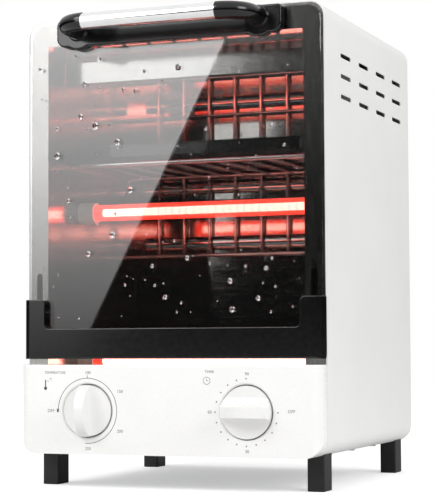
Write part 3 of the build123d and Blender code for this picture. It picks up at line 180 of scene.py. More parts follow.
def textured(name, light, dark, *, patch, grit, rough, relief, metallic=0.0, stretch=(1, 1, 1), coat=0.0):
    """A surface whose colour drifts between two near shades and whose gloss and relief follow its grain.

    patch and grit are the sizes of the drift and of the grain, and relief is the grain's depth, in metres.
    rough is the range of the roughness. stretch below 1 draws the grain out along that axis.
    """
    material, tree, shader, place = start_material(name, Metallic=metallic, Coat_Weight=coat)
    drift = add_node(tree, "ShaderNodeTexNoise", None, {"Scale": 1 / patch, "Detail": 4.0},
                     {"Vector": place})
    tone = add_node(tree, "ShaderNodeValToRGB", None, None, {"Fac": drift.outputs["Fac"]})
    tone.color_ramp.elements[0].position = NOISE_LOW
    tone.color_ramp.elements[0].color = dark
    tone.color_ramp.elements[1].position = NOISE_HIGH
    tone.color_ramp.elements[1].color = light
    pull = add_node(tree, "ShaderNodeMapping", None, {"Scale": stretch}, {"Vector": place})
    grain = add_node(tree, "ShaderNodeTexNoise", None, {"Scale": 1 / grit, "Detail": 2.0},
                     {"Vector": pull.outputs["Vector"]})
    gloss = add_node(
        tree, "ShaderNodeMapRange", None,
        {"From Min": NOISE_LOW, "From Max": NOISE_HIGH, "To Min": rough[0], "To Max": rough[1]},
        {"Value": grain.outputs["Fac"]})
    bump = add_node(tree, "ShaderNodeBump", None, {"Strength": 1.0, "Distance": relief},
                    {"Height": grain.outputs["Fac"]})
    tree.links.new(tone.outputs["Color"], shader.inputs["Base Color"])
    tree.links.new(gloss.outputs["Result"], shader.inputs["Roughness"])
    tree.links.new(bump.outputs["Normal"], shader.inputs["Normal"])
    return material


def lay(material, *names):
    """Puts one material on CAD nodes."""
    for name in names:
        slots = nodes[name].data.materials
        slots.clear()
        slots.append(material)


def powder_coated_steel():
    """White polyester powder on sheet steel: a faint orange peel that softens reflections."""
    white = bpy.context.scene.sterilizer_finish.coat_light
    return textured("powder_coated_steel", white, linear("#ECECEA"), patch=80 * MM, grit=1.1 * MM,
                    rough=(0.32, 0.42), relief=0.01 * MM)


def moulded_white_abs():
    """Satin moulded ABS: finer and smoother than the coated steel, with a slight sheen."""
    white = bpy.context.scene.sterilizer_finish.front_light
    return textured("moulded_white_abs", white, linear("#F3F3F1"), patch=60 * MM, grit=0.7 * MM,
                    rough=(0.24, 0.32), relief=0.004 * MM)


def polished_white_abs():
    """Glossy moulded ABS of the knobs, which draws bright streaks along the grip."""
    white = bpy.context.scene.sterilizer_finish.knob_light
    return textured("polished_white_abs", white, linear("#EDEDEB"), patch=30 * MM, grit=0.9 * MM,
                    rough=(0.12, 0.2), relief=0.003 * MM)


def glossy_black_abs():
    """Black ABS from a polished tool: dark and mirror-like, with faint haze."""
    black = bpy.context.scene.sterilizer_finish.black
    return textured("glossy_black_abs", black, linear("#070707"), patch=30 * MM, grit=4 * MM,
                    rough=(0.14, 0.18), relief=0.0004 * MM)


def moulded_black_nylon():
    """Nylon from a sparked tool: black, matte and finely pitted."""
    return textured("moulded_black_nylon", linear("#0C0C0B"), linear("#080808"), patch=20 * MM,
                    grit=0.6 * MM, rough=(0.42, 0.58), relief=0.02 * MM)


def bright_stainless():
    """Bright annealed stainless sheet: a soft mirror, drawn out upwards along the rolling direction."""
    return textured("bright_stainless", linear("#C9C8C4"), linear("#BDBCB8"), patch=50 * MM,
                    grit=1.2 * MM, rough=(0.1, 0.19), relief=0.003 * MM, metallic=1.0,
                    stretch=(1, 1, 0.06))


def back_wall_stainless():
    """The same sheet on the back wall, rolled across and flatter, so a clearer mirror of the opening."""
    return textured("back_wall_stainless", linear("#C6C5C1"), linear("#BBBAB6"), patch=50 * MM,
                    grit=1.5 * MM, rough=(0.05, 0.1), relief=0.001 * MM, metallic=1.0,
                    stretch=(0.06, 1, 1))


def zinc_plated_steel():
    """Zinc plate: cool grey with a cloudy spangle."""
    return textured("zinc_plated_steel", linear("#B9BCC0"), linear("#9DA0A4"), patch=6 * MM,
                    grit=0.9 * MM, rough=(0.28, 0.42), relief=0.004 * MM, metallic=1.0)


def polished_chrome():
    """Chromium plate on a ground tube: near mirror, with hairlines along its length.

    Real hairlines are too fine to show, so they are drawn about ten times as coarse.
    """
    return textured("polished_chrome", linear("#F4F4F4"), linear("#EBEBEB"), patch=20 * MM,
                    grit=0.7 * MM, rough=(0.05, 0.12), relief=0.002 * MM, metallic=1.0,
                    stretch=(0.02, 1, 1))


def chromed_wire():
    """Chromium plate straight on drawn wire: bright, a little wavy."""
    return textured("chromed_wire", linear("#DADADA"), linear("#C8C8C8"), patch=10 * MM, grit=0.8 * MM,
                    rough=(0.12, 0.22), relief=0.004 * MM, metallic=1.0)


def vitreous_black_enamel():
    """Fired enamel: glass-black with a gentle peel, fine speckle and a clear coat's highlight."""
    return textured("vitreous_black_enamel", linear("#2A2A29"), linear("#191918"), patch=4 * MM,
                    grit=1.6 * MM, rough=(0.1, 0.22), relief=0.01 * MM, coat=0.6)


def steatite():
    """Pressed white ceramic, dry and slightly chalky."""
    return textured("steatite", linear("#E8E4DA"), linear("#DCD7CB"), patch=6 * MM, grit=0.5 * MM,
                    rough=(0.5, 0.65), relief=0.01 * MM)


def turned_brass():
    """Plain brass nuts, softly scored by turning."""
    return textured("turned_brass", linear("#D6B368"), linear("#C29E55"), patch=4 * MM, grit=0.5 * MM,
                    rough=(0.22, 0.34), relief=0.004 * MM, metallic=1.0)


def cream_nylon():
    """Cream moulded nylon of the terminal block, satin and slightly mottled."""
    return textured("cream_nylon", linear("#E6E2D2"), linear("#DCD7C5"), patch=8 * MM, grit=0.5 * MM,
                    rough=(0.4, 0.52), relief=0.008 * MM)


def moulded_silicone():
    """Milky silicone washers with a soft, dull face."""
    return textured("moulded_silicone", linear("#D8D8D4"), linear("#CDCDC8"), patch=4 * MM,
                    grit=0.5 * MM, rough=(0.45, 0.6), relief=0.006 * MM)


def pad_printed_ink():
    """Grey pad-printed ink, thin and matte, slightly uneven in cover."""
    ink = bpy.context.scene.sterilizer_marks.ink
    return textured("pad_printed_ink", ink, linear("#4A4A48"), patch=2 * MM, grit=0.4 * MM,
                    rough=(0.5, 0.62), relief=0.002 * MM)


def tinted_tempered_glass():
    """Smoked float glass with a reflective coat: it stops part of the light and mirrors the room.

    Its cover is an alpha, so that lamps still reach the cavity, and a high IOR stands for the coat's
    mirror. Slow patches of haze, the size of the roller wave left by tempering, break the reflection.
    """
    cover = bpy.context.scene.sterilizer_finish.pane_cover
    material, tree, shader, place = start_material(
        "tinted_tempered_glass", Base_Color=linear("#0B0D0C"), IOR=2.3, Alpha=cover)
    wave = add_node(tree, "ShaderNodeTexNoise", None, {"Scale": 1 / (50 * MM), "Detail": 1.0},
                    {"Vector": place})
    haze = add_node(
        tree, "ShaderNodeMapRange", None,
        {"From Min": NOISE_LOW, "From Max": NOISE_HIGH, "To Min": 0.005, "To Max": 0.02},
        {"Value": wave.outputs["Fac"]})
    tree.links.new(haze.outputs["Result"], shader.inputs["Roughness"])
    return material


def glow_in_bands(tree, shader, place, pitch, distortion, low, high):
    """Lets a shader's emission swing between two strengths in bands across X, one band to a pitch."""
    turns = add_node(tree, "ShaderNodeTexWave", {"wave_type": "BANDS", "bands_direction": "X"},
                     {"Scale": WAVE_REPEAT / pitch, "Distortion": distortion}, {"Vector": place})
    bright = add_node(tree, "ShaderNodeMapRange", None, {"To Min": low, "To Max": high},
                      {"Value": turns.outputs["Fac"]})
    tree.links.new(bright.outputs["Result"], shader.inputs["Emission Strength"])


def lit_quartz(name, share):
    """Hot fused quartz: a red, mostly clear glow, mottled by the coil's turns behind it.

    The mottle is drawn coarser than the turns, whose true pitch would blur into an even glow.
    """
    finish = bpy.context.scene.sterilizer_finish
    material, tree, shader, place = start_material(
        name, Base_Color=linear("#D8685A"), Emission_Color=finish.glow, Roughness=0.12, IOR=1.46, Alpha=0.35)
    strength = finish.glow_strength * share
    glow_in_bands(tree, shader, place, 18.85 * MM, 0.6, 0.9 * strength, strength)
    return material


def glowing_wire():
    """Resistance wire at working heat: pale and bright, banded about as its turns lie."""
    finish = bpy.context.scene.sterilizer_finish
    material, tree, shader, place = start_material(
        "glowing_wire", Base_Color=linear("#5A3A30"), Emission_Color=finish.core, Roughness=0.5)
    glow_in_bands(tree, shader, place, 6.283 * MM, 0.0, 0.8 * finish.core_strength, finish.core_strength)
    return material


def braided_sleeving():
    """Varnished glass-fibre sleeving on the wires: brick red, with a woven check drawn twice as coarse."""
    material, tree, shader, place = start_material("braided_sleeving", Roughness=0.6)
    weave = add_node(
        tree, "ShaderNodeTexChecker", None,
        {"Scale": 1 / (1.2 * MM), "Color1": linear("#A8483A"), "Color2": linear("#8A382C")},
        {"Vector": place})
    bump = add_node(tree, "ShaderNodeBump", None, {"Distance": 0.1 * MM}, {"Height": weave.outputs["Fac"]})
    tree.links.new(weave.outputs["Color"], shader.inputs["Base Color"])
    tree.links.new(bump.outputs["Normal"], shader.inputs["Normal"])
    return material


def clear_water():
    """Condensed water: clear and less refractive than glass, its skin dulled a trace in patches by dust."""
    material, tree, shader, place = start_material(
        "clear_water", Base_Color=linear("#FFFFFF"), IOR=1.33, Transmission_Weight=1.0)
    dust = add_node(tree, "ShaderNodeTexNoise", None, {"Scale": 1 / (1.5 * MM), "Detail": 1.0},
                    {"Vector": place})
    film = add_node(
        tree, "ShaderNodeMapRange", None,
        {"From Min": NOISE_LOW, "From Max": NOISE_HIGH, "To Min": 0.0, "To Max": 0.01},
        {"Value": dust.outputs["Fac"]})
    tree.links.new(film.outputs["Result"], shader.inputs["Roughness"])
    return material


class STERILIZER_OT_case(bpy.types.Operator):
    """Finishes the folded case, its back, its feet and the black fittings of the back"""
    bl_idname = "sterilizer.case"
    bl_label = "Case"

    def execute(self, context):
        lay(powder_coated_steel(), "case_wrap", "back_panel")
        lay(moulded_black_nylon(), "feet", "cord_gland", "thermal_cutout")
        return {"FINISHED"}


class STERILIZER_OT_controls(bpy.types.Operator):
    """Finishes the control panel, the knobs and the parts that hold them"""
    bl_idname = "sterilizer.controls"
    bl_label = "Controls"

    def execute(self, context):
        lay(moulded_white_abs(), "control_panel")
        lay(polished_white_abs(), "temperature_knob", "timer_knob")
        lay(steatite(), "thermostat_body", "tube_holders")
        lay(turned_brass(), "shaft_nuts")
        return {"FINISHED"}


class STERILIZER_OT_hardware(bpy.types.Operator):
    """Finishes the plated parts, the terminal block, the wiring and the washers"""
    bl_idname = "sterilizer.hardware"
    bl_label = "Hardware"

    def execute(self, context):
        lay(zinc_plated_steel(), "base_plate", "control_plate", "base_screws", "back_screws", "panel_screws",
            "timer_body", "timer_bell", "temperature_shaft", "timer_shaft", "hinge_pins", "hinge_arms",
            "arm_rivets", "hinge_ears", "heater_terminals", "handle_screws")
        lay(cream_nylon(), "terminal_block")
        lay(braided_sleeving(), "wiring_loom")
        lay(moulded_silicone(), "handle_washers")
        return {"FINISHED"}


class STERILIZER_OT_cavity(bpy.types.Operator):
    """Finishes the bright liner, the rack, the back guard and the tray"""
    bl_idname = "sterilizer.cavity"
    bl_label = "Cavity"

    def execute(self, context):
        lay(bright_stainless(), "cavity_side_left", "cavity_side_right", "cavity_top", "cavity_floor",
            "heater_shield", "rack_rails")
        lay(back_wall_stainless(), "cavity_back")
        lay(chromed_wire(), "rack", "back_guard")
        lay(vitreous_black_enamel(), "tray")
        return {"FINISHED"}


# How brightly each tube shines, as a share of the middle one.
TUBE_SHARES = {"upper": 0.9, "middle": 1.0, "lower": 0.6}


class STERILIZER_OT_heaters(bpy.types.Operator):
    """Lights the quartz tubes and their coils"""
    bl_idname = "sterilizer.heaters"
    bl_label = "Heaters"

    def execute(self, context):
        for place, share in TUBE_SHARES.items():
            lay(lit_quartz(f"lit_quartz_{place}", share), f"heater_tube_{place}")
        lay(glowing_wire(), "heating_coils")
        return {"FINISHED"}


class STERILIZER_OT_door(bpy.types.Operator):
    """Finishes the pane, the black trim and the handle"""
    bl_idname = "sterilizer.door"
    bl_label = "Door"

    def execute(self, context):
        lay(tinted_tempered_glass(), "door_glass")
        lay(glossy_black_abs(), "door_trim", "handle_base", "handle_elbow_left", "handle_elbow_right")
        lay(polished_chrome(), "handle_tube")
        return {"FINISHED"}


def mesh_object(name, points, faces, material, smooth=False):
    """A new object from points in metres and from faces, with its place in its mesh."""
    mesh = bpy.data.meshes.new(name)
    mesh.from_pydata(points.tolist(), [], faces)
    mesh.materials.append(material)
    mesh.polygons.foreach_set("use_smooth", np.full(len(mesh.polygons), smooth))
    mesh.update()
    piece = bpy.data.objects.new(name, mesh)
    bpy.context.scene.collection.objects.link(piece)
    return piece


def arc_outline(centre, radius, width, start, end, steps):
    """A flat band: its outer edge at radius + width / 2 from angle start to end, its inner edge back again.

    Angles are in degrees, clockwise from 12 o'clock as seen from the front. Points are X and Z.
    """
    angles = np.radians(np.linspace(start, end, steps))
    turn = np.stack([np.sin(angles), np.cos(angles)], axis=1)
    outer = turn * (radius + width / 2)
    inner = turn[::-1] * (radius - width / 2)
    return np.concatenate([outer, inner]) + np.array([centre.x, centre.z])


def disc_outline(centre, radius, steps=20):
    """A circle's points at equal angles, clockwise as seen from the front."""
    angles = np.linspace(0, 2 * pi, steps, endpoint=False)
    return np.stack([np.sin(angles), np.cos(angles)], axis=1) * radius + np.array([centre.x, centre.z])


def bar_outline(centre, width, height):
    """A rectangle's four corners about its centre, clockwise as seen from the front."""
    corners = np.array([(-1, 1), (1, 1), (1, -1), (-1, -1)]) * np.array([width, height]) / 2
    return corners + np.array([centre.x, centre.z])


def raise_outlines(outlines, back, front):
    """Each outline in X and Z becomes a closed plate that reaches from depth back to depth front."""
    points = []
    faces = []
    first = 0
    for outline in outlines:
        count = len(outline)
        for y in (front, back):
            points.append(np.column_stack([outline[:, 0], np.full(count, y), outline[:, 1]]))
        ring = first + np.arange(count)
        beside = first + (np.arange(count) + 1) % count
        faces.append(ring[::-1].tolist())
        faces.append((ring + count).tolist())
        faces.extend(np.stack([ring, beside, beside + count, ring + count], axis=1).tolist())
        first += 2 * count
    return np.concatenate(points), faces


# How deep the print reaches into the panel, and how far it stands out.
INK_SUNK = 0.02 * MM
INK_PROUD = 0.03 * MM
# The timer's dots: every 18 degrees, from 12 o'clock the long way round to 3 o'clock.
DOT_STEP = 18
# The thermostat's line starts at 9 o'clock, and its two halves meet at half past 1.
LINE_START = -90
LINE_JOINT = 45
LINE_END = 180
LINE_STEPS = 60
# How long the ticks at 12 and 6 o'clock are, and the block at 9 o'clock: its size, and how far its
# middle lies outside the line.
TICK = 2.2 * MM
END_TICK = 1.8 * MM
START_BLOCK = (1.6 * MM, 2.6 * MM)
BLOCK_OUT = 0.4 * MM

CLOCK = Vector((34.1, 0, 83.6)) * MM
CLOCK_RADIUS = 2.75 * MM
CLOCK_STEPS = 24
LONG_HAND = 1.5 * MM
LONG_HAND_RISE = 0.7 * MM
SHORT_HAND = 1.2 * MM

THERMOMETER = Vector((-102.4, 0, 81.0)) * MM
STEM = (0.9 * MM, 5.6 * MM)
BULB_RADIUS = 1.35 * MM
BULB_DROP = 3.8 * MM
GRADUATION = 1.4 * MM
GRADUATION_PLACE = THERMOMETER + Vector((2.2, 0, 1.8)) * MM

# Dial words with their places from the dial's axis, across and up in millimetres.
TIMER_WORDS = (("OFF", 35.9, 0.9), ("30", 0.5, -29.2), ("60", -29.6, 0.0), ("90", 0.6, 28.7))
THERMOSTAT_WORDS = (
    ("OFF", -31.6, -0.4), ("100", 0.4, 29.4), ("150", 27.8, 15.0), ("200", 27.8, -15.6), ("250", 0.5, -29.4))
# Captions with their places on the panel in millimetres, and their size beside the dial words.
CAPTIONS = (("°C", -98.0, 84.2, 0.8), ("TEMPERATURE", -94.0, 89.4, 0.85), ("TIMER", 36.4, 90.3, 0.85))


def scale_outlines(marks):
    """The timer's ring of dots, and the thermostat's line with its ticks and its start block."""
    radius = marks.ring_radius
    line = marks.line_width
    outlines = [
        disc_outline(RIGHT_DIAL + radius * Vector((sin(turn), 0, cos(turn))), marks.dot_radius)
        for turn in np.radians(np.arange(-270, 1, DOT_STEP))
    ]
    for start, end in ((LINE_START, LINE_JOINT), (LINE_JOINT, LINE_END)):
        outlines.append(arc_outline(LEFT_DIAL, radius, line, start, end, LINE_STEPS))
    outlines.append(bar_outline(LEFT_DIAL + Vector((0, 0, radius + TICK / 2)), line, TICK))
    outlines.append(bar_outline(LEFT_DIAL - Vector((END_TICK / 2, 0, radius)), END_TICK, line))
    outlines.append(bar_outline(LEFT_DIAL - Vector((radius + BLOCK_OUT, 0, 0)), *START_BLOCK))
    return outlines


def symbol_outlines(marks):
    """A clock face with two hands, and a thermometer with its bulb and one graduation."""
    fine = marks.fine_width
    outlines = [
        arc_outline(CLOCK, CLOCK_RADIUS, fine, start, start + 180, CLOCK_STEPS) for start in (0, 180)
    ]
    outlines.append(bar_outline(CLOCK + Vector((0, 0, LONG_HAND_RISE)), fine, LONG_HAND))
    outlines.append(bar_outline(CLOCK + Vector((SHORT_HAND / 2, 0, 0)), SHORT_HAND, fine))
    outlines.append(bar_outline(THERMOMETER, *STEM))
    outlines.append(disc_outline(THERMOMETER - Vector((0, 0, BULB_DROP)), BULB_RADIUS))
    outlines.append(bar_outline(GRADUATION_PLACE, GRADUATION, fine))
    return outlines


def word_mesh(word, size, x, z):
    """One word as a thin solid mesh that stands in the panel's face, centred on x and z."""
    curve = bpy.data.curves.new(word, "FONT")
    curve.body = word
    curve.size = size
    curve.align_x = "CENTER"
    curve.align_y = "CENTER"
    curve.extrude = INK_SUNK
    curve.resolution_u = 4
    letters = bpy.data.objects.new(word, curve)
    bpy.context.scene.collection.objects.link(letters)
    bpy.context.view_layer.update()
    mesh = bpy.data.meshes.new_from_object(letters.evaluated_get(bpy.context.evaluated_depsgraph_get()))
    mesh.transform(Matrix.Translation((x, PANEL_FACE, z)) @ Matrix.Rotation(radians(90), 4, "X"))
    bpy.data.objects.remove(letters)
    bpy.data.curves.remove(curve)
    return mesh


class STERILIZER_OT_marks(bpy.types.Operator):
    """Prints the scales, the two small symbols and the dial words on the control panel"""
    bl_idname = "sterilizer.marks"
    bl_label = "Printed marks"

    def execute(self, context):
        marks = context.scene.sterilizer_marks
        ink = pad_printed_ink()
        outlines = scale_outlines(marks) + symbol_outlines(marks)
        points, faces = raise_outlines(outlines, PANEL_FACE + INK_SUNK, PANEL_FACE - INK_PROUD)
        scales = mesh_object("printed_scales", points, faces, ink)
        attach(scales, "case")

        words = [
            (word, dial.x + across * MM, dial.z + up * MM, 1.0)
            for dial, group in ((RIGHT_DIAL, TIMER_WORDS), (LEFT_DIAL, THERMOSTAT_WORDS))
            for word, across, up in group
        ]
        words += [(word, x * MM, z * MM, share) for word, x, z, share in CAPTIONS]
        joined = bmesh.new()
        for word, x, z, share in words:
            letters = word_mesh(word, marks.letter_height * share, x, z)
            joined.from_mesh(letters)
            bpy.data.meshes.remove(letters)
        mesh = bpy.data.meshes.new("dial_numbers")
        joined.to_mesh(mesh)
        joined.free()
        mesh.materials.append(ink)
        numbers = bpy.data.objects.new("dial_numbers", mesh)
        context.scene.collection.objects.link(numbers)
        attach(numbers, "case")
        return {"FINISHED"}


# The large drops: across, up and radius, in millimetres.
LARGE_DROPS = np.array([
    (-64.5, 283.9, 2.9), (-98.1, 261.6, 2.6), (-77.7, 291.8, 2.2), (-45.4, 270.2, 2.5),
    (-34.2, 232.0, 2.3), (-49.8, 197.1, 2.5), (-70.7, 182.7, 2.1), (6.9, 326.2, 2.5),
    (49.3, 159.3, 1.9), (50.8, 137.9, 2.2), (13.9, 177.6, 1.7), (71.9, 146.0, 1.8),
    (78.5, 168.5, 1.6), (-74.2, 317.9, 1.9), (-113.4, 331.7, 1.5), (-22.0, 325.0, 1.4),
    (-40.1, 311.1, 1.7), (-29.8, 309.7, 1.5), (-4.7, 147.9, 1.8), (-15.6, 172.1, 1.4),
    (-98.1, 283.2, 1.5), (-88.3, 225.3, 1.6),
]) * MM
# How far the small drops stay from the pane's left, right, lower and upper edges.
LEFT_MARGIN = 6 * MM
RIGHT_MARGIN = 18 * MM
LOWER_MARGIN = 22 * MM
UPPER_MARGIN = 26 * MM
# Above 1, this power makes most of the small drops very small.
SIZE_POWER = 2.2
# A drop's height as a share of its radius, how oval it is, and how far its oval leans, in radians.
DROP_HEIGHT = (0.5, 0.75)
DROP_SWELL = (0.02, 0.14)
DROP_LEAN = (-0.6, 0.6)
# How much further a drop hangs down than up, and the power that rounds its shoulder.
DROP_SAG = 0.12
DROP_SHOULDER = 0.6
DROP_RINGS = 6
DROP_SPOKES = 18
# A film's gap keeps the drops' bases off the pane's own face.
FILM_GAP = 0.02 * MM


def domes(places, radii, heights, swell, lean):
    """Drops as closed domes on the pane, all at once.

    At an angle from 12 o'clock, a drop's outline is its radius times 1 + swell * cos(2 * angle + lean),
    and times 1 + sag * -cos(angle) in its lower half. Over it the dome stands at height * (1 - s^2)^0.6,
    where s runs from 0 at its top to 1 at its edge. The base is flat.
    """
    drops = len(radii)
    reach = np.linspace(0, 1, DROP_RINGS + 1)[1:]
    angle = np.linspace(0, 2 * pi, DROP_SPOKES, endpoint=False)
    outline = radii[:, None] * (1 + swell[:, None] * np.cos(2 * angle[None, :] + lean[:, None]))
    outline = outline * (1 + DROP_SAG * np.clip(-np.cos(angle), 0, 1))[None, :]
    x = places[:, 0, None, None] + reach[None, :, None] * (outline * np.sin(angle))[:, None, :]
    z = places[:, 1, None, None] + reach[None, :, None] * (outline * np.cos(angle))[:, None, :]
    stand = heights[:, None, None] * ((1 - reach ** 2) ** DROP_SHOULDER)[None, :, None]
    y = np.broadcast_to(PANE_FACE - FILM_GAP - stand, x.shape)
    body = np.stack([x, y, z], axis=3).reshape(drops, -1, 3)
    top = np.stack([places[:, 0], PANE_FACE - FILM_GAP - heights, places[:, 1]], axis=1)[:, None, :]
    base = np.stack([places[:, 0], np.full(drops, PANE_FACE - FILM_GAP), places[:, 1]], axis=1)[:, None, :]
    points = np.concatenate([body, top, base], axis=1)

    spoke = np.arange(DROP_SPOKES)
    beside = (spoke + 1) % DROP_SPOKES
    groups = []
    for inner in range(0, (DROP_RINGS - 1) * DROP_SPOKES, DROP_SPOKES):
        outer = inner + DROP_SPOKES
        groups.append(np.stack([inner + spoke, inner + beside, outer + beside, outer + spoke], axis=1))
    edge = (DROP_RINGS - 1) * DROP_SPOKES
    top_point = np.full(DROP_SPOKES, DROP_RINGS * DROP_SPOKES)
    groups.append(np.stack([top_point, beside, spoke], axis=1))
    groups.append(np.stack([top_point + 1, edge + spoke, edge + beside], axis=1))
    shift = points.shape[1] * np.arange(drops)
    faces = []
    for group in groups:
        faces.extend((group[None] + shift[:, None, None]).reshape(-1, group.shape[1]).tolist())
    return points.reshape(-1, 3), faces


class STERILIZER_OT_drops(bpy.types.Operator):
    """Puts the large water drops in their places on the pane and scatters the small ones over it"""
    bl_idname = "sterilizer.drops"
    bl_label = "Water drops"

    def execute(self, context):
        drops = context.scene.sterilizer_drops
        rng = np.random.default_rng(drops.seed)
        low = np.array([PANE_LOW[0] + LEFT_MARGIN, PANE_LOW[2] + LOWER_MARGIN])
        high = np.array([PANE_HIGH[0] - RIGHT_MARGIN, PANE_HIGH[2] - UPPER_MARGIN])
        scattered = rng.uniform(low, high, (drops.count, 2))
        shares = rng.uniform(0, 1, drops.count) ** SIZE_POWER
        sizes = drops.smallest + (drops.largest - drops.smallest) * shares
        places = np.concatenate([LARGE_DROPS[:, :2], scattered])
        radii = np.concatenate([LARGE_DROPS[:, 2], sizes])
        heights = radii * rng.uniform(*DROP_HEIGHT, len(radii))
        swell = rng.uniform(*DROP_SWELL, len(radii))
        lean = rng.uniform(*DROP_LEAN, len(radii))
        points, faces = domes(places, radii, heights, swell, lean)
        water = mesh_object("water_drops", points, faces, clear_water(), smooth=True)
        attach(water, "door")
        return {"FINISHED"}


FLOOR_REACH = 3.0
# A tall light panel at the front left, seen only in reflections. Its right edge is the diagonal on the pane.
LIGHT_PANEL = np.array([
    (-386.4, -1307.7, 653.5), (-700.5, -1218.3, -35.3), (-833.8, -1154.1, -33.3), (-808.1, -1105.5, 648.5),
]) * MM
# The panel's light falls off between these heights, down to this share of its strength.
PANEL_FADE = (0.05, 0.6)
PANEL_LOW_SHARE = 0.05
# Each lamp's place and width, in metres, and the point that both look at.
KEY_LAMP = ((-1.1, -1.8, 1.6), 1.1)
SIDE_LAMP = ((1.9, -0.7, 1.1), 0.9)
LAMP_AIM = (0, 0, 0.2)
# The room in reflections, from dark at its first height to white at its second: sines of the elevation.
ROOM_DARK = (0.1, "#1C1C1C")
ROOM_WHITE = (0.55, "#FFFFFF")
# The viewpoint, worked out from the photograph's perspective: its place, and its turns in degrees.
CAMERA_PLACE = Vector((513.79, -1301.455, 111.98)) * MM
CAMERA_YAW = 21.68
CAMERA_PITCH = 3.25
CAMERA_ROLL = -0.276


def pale_floor(lift):
    """Matte paper. To the camera it also glows a little, so that only the shadow stands out from white."""
    material, tree, shader, place = start_material(
        "pale_floor", Roughness=0.9, Specular_IOR_Level=0.0, Emission_Color=linear("#FFFFFF"))
    fibre = add_node(tree, "ShaderNodeTexNoise", None, {"Scale": 1 / (3 * MM)}, {"Vector": place})
    tone = add_node(tree, "ShaderNodeMapRange", None, {"To Min": 0.78, "To Max": 0.8},
                    {"Value": fibre.outputs["Fac"]})
    path = add_node(tree, "ShaderNodeLightPath")
    glow = add_node(tree, "ShaderNodeMath", {"operation": "MULTIPLY"}, {1: lift},
                    {0: path.outputs["Is Camera Ray"]})
    tree.links.new(tone.outputs["Result"], shader.inputs["Base Color"])
    tree.links.new(glow.outputs["Value"], shader.inputs["Emission Strength"])
    return material


def diffuser_glow(strength):
    """The diffuser of a tall studio light, bright at its top and fading downwards."""
    material, tree, shader, place = start_material(
        "diffuser_glow", Base_Color=linear("#000000"), Emission_Color=linear("#FFFFFF"))
    axes = add_node(tree, "ShaderNodeSeparateXYZ", None, None, {"Vector": place})
    fall = add_node(
        tree, "ShaderNodeMapRange", None,
        {"From Min": PANEL_FADE[0], "From Max": PANEL_FADE[1],
         "To Min": strength * PANEL_LOW_SHARE, "To Max": strength},
        {"Value": axes.outputs["Z"]})
    tree.links.new(fall.outputs["Result"], shader.inputs["Emission Strength"])
    return material


def studio_world(strength):
    """White to the camera, even light on matte surfaces, a dark room with a white ceiling in reflections."""
    world = bpy.data.worlds.new("studio")
    world.use_nodes = True
    tree = world.node_tree
    tree.nodes.clear()
    path = add_node(tree, "ShaderNodeLightPath")
    place = add_node(tree, "ShaderNodeTexCoord")
    axes = add_node(tree, "ShaderNodeSeparateXYZ", None, None, {"Vector": place.outputs["Generated"]})
    room = add_node(tree, "ShaderNodeValToRGB", None, None, {"Fac": axes.outputs["Z"]})
    for element, (height, colour) in zip(room.color_ramp.elements, (ROOM_DARK, ROOM_WHITE)):
        element.position = height
        element.color = linear(colour)
    even = add_node(tree, "ShaderNodeBackground", None, {"Color": (1, 1, 1, 1), "Strength": strength})
    mirrored = add_node(tree, "ShaderNodeBackground", None, {"Strength": 1.0},
                        {"Color": room.outputs["Color"]})
    backdrop = add_node(tree, "ShaderNodeBackground", None, {"Color": (1, 1, 1, 1), "Strength": 1.0})
    lighting = add_node(tree, "ShaderNodeMixShader", None, None,
                        {0: path.outputs["Is Glossy Ray"], 1: even.outputs[0], 2: mirrored.outputs[0]})
    mixed = add_node(tree, "ShaderNodeMixShader", None, None,
                     {0: path.outputs["Is Camera Ray"], 1: lighting.outputs[0], 2: backdrop.outputs[0]})
    add_node(tree, "ShaderNodeOutputWorld", None, None, {"Surface": mixed.outputs[0]})
    return world


def add_lamp(name, place, width, power):
    """A square area lamp that looks at the object."""
    light = bpy.data.lights.new(name, "AREA")
    light.size = width
    light.energy = power
    lamp = bpy.data.objects.new(name, light)
    look = (Vector(LAMP_AIM) - Vector(place)).to_track_quat("-Z", "Y")
    lamp.matrix_world = Matrix.Translation(place) @ look.to_matrix().to_4x4()
    bpy.context.scene.collection.objects.link(lamp)


def add_camera(lens):
    """A camera at the photograph's viewpoint: turned left by its yaw, up by its pitch, then rolled."""
    yaw, pitch, roll = radians(CAMERA_YAW), radians(CAMERA_PITCH), radians(CAMERA_ROLL)
    forward = Vector((-sin(yaw) * cos(pitch), cos(yaw) * cos(pitch), sin(pitch)))
    level_right = Vector((cos(yaw), sin(yaw), 0))
    level_up = level_right.cross(forward)
    right = cos(roll) * level_right + sin(roll) * level_up
    up = cos(roll) * level_up - sin(roll) * level_right
    view = bpy.data.cameras.new("camera")
    view.sensor_width = 36.0
    view.lens = lens
    view.clip_end = 20.0
    camera = bpy.data.objects.new("camera", view)
    turned = Matrix((right, up, -forward)).transposed().to_4x4()
    camera.matrix_world = Matrix.Translation(CAMERA_PLACE) @ turned
    bpy.context.scene.collection.objects.link(camera)
    bpy.context.scene.camera = camera


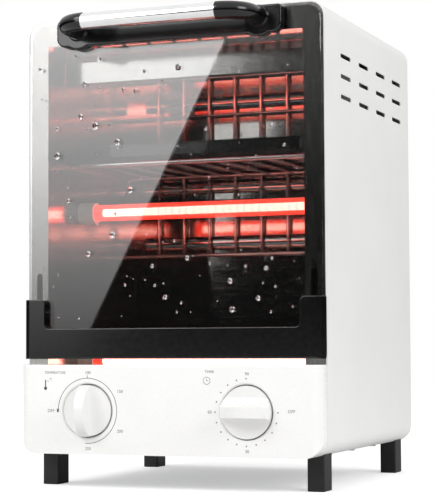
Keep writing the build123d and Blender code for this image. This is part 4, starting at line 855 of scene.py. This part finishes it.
class STERILIZER_OT_stage(bpy.types.Operator):
    """Sets the pale floor, the light panel, the white surround, the lamps and the camera"""
    bl_idname = "sterilizer.stage"
    bl_label = "Studio"

    def execute(self, context):
        stage = context.scene.sterilizer_stage
        corners = np.array([(-1, -1, 0), (1, -1, 0), (1, 1, 0), (-1, 1, 0)]) * FLOOR_REACH
        floor = mesh_object("floor", corners, [(0, 1, 2, 3)], pale_floor(stage.floor_lift))
        glow = diffuser_glow(stage.panel_strength)
        panel = mesh_object("light_panel", LIGHT_PANEL, [(0, 1, 2, 3)], glow)
        panel.visible_camera = False
        panel.visible_diffuse = False
        panel.visible_transmission = False
        panel.visible_shadow = False
        context.scene.world = studio_world(stage.ambient)
        add_lamp("key_lamp", *KEY_LAMP, stage.key_power)
        add_lamp("side_lamp", *SIDE_LAMP, stage.side_power)
        context.scene.view_settings.view_transform = "Standard"
        add_camera(stage.lens)
        return {"FINISHED"}


OPERATORS = (
    STERILIZER_OT_case, STERILIZER_OT_controls, STERILIZER_OT_hardware, STERILIZER_OT_cavity,
    STERILIZER_OT_heaters, STERILIZER_OT_door, STERILIZER_OT_marks, STERILIZER_OT_drops, STERILIZER_OT_stage,
)
GROUPS = {
    "sterilizer_finish": SterilizerFinish,
    "sterilizer_marks": SterilizerMarks,
    "sterilizer_drops": SterilizerDrops,
    "sterilizer_stage": SterilizerStage,
}


class STERILIZER_PT_panel(bpy.types.Panel):
    """Lists the sterilizer's steps and the sizes and colours they use"""
    bl_idname = "STERILIZER_PT_panel"
    bl_label = "Dry heat sterilizer"
    bl_space_type = "VIEW_3D"
    bl_region_type = "UI"
    bl_category = "Sterilizer"

    def draw(self, context):
        for operator in OPERATORS:
            self.layout.operator(operator.bl_idname)
        for name, group in GROUPS.items():
            column = self.layout.column()
            for field in group.__annotations__:
                column.prop(getattr(context.scene, name), field)


def register():
    for kind in (*GROUPS.values(), *OPERATORS, STERILIZER_PT_panel):
        bpy.utils.register_class(kind)
    for name, group in GROUPS.items():
        setattr(bpy.types.Scene, name, bpy.props.PointerProperty(type=group))


def unregister():
    for name in GROUPS:
        delattr(bpy.types.Scene, name)
    for kind in reversed((*GROUPS.values(), *OPERATORS, STERILIZER_PT_panel)):
        bpy.utils.unregister_class(kind)


def main():
    register()
    bpy.ops.sterilizer.case()
    bpy.ops.sterilizer.controls()
    bpy.ops.sterilizer.hardware()
    bpy.ops.sterilizer.cavity()
    bpy.ops.sterilizer.heaters()
    bpy.ops.sterilizer.door()
    bpy.ops.sterilizer.marks()
    bpy.ops.sterilizer.drops()
    bpy.ops.sterilizer.stage()


if __name__ == "__main__":
    main()
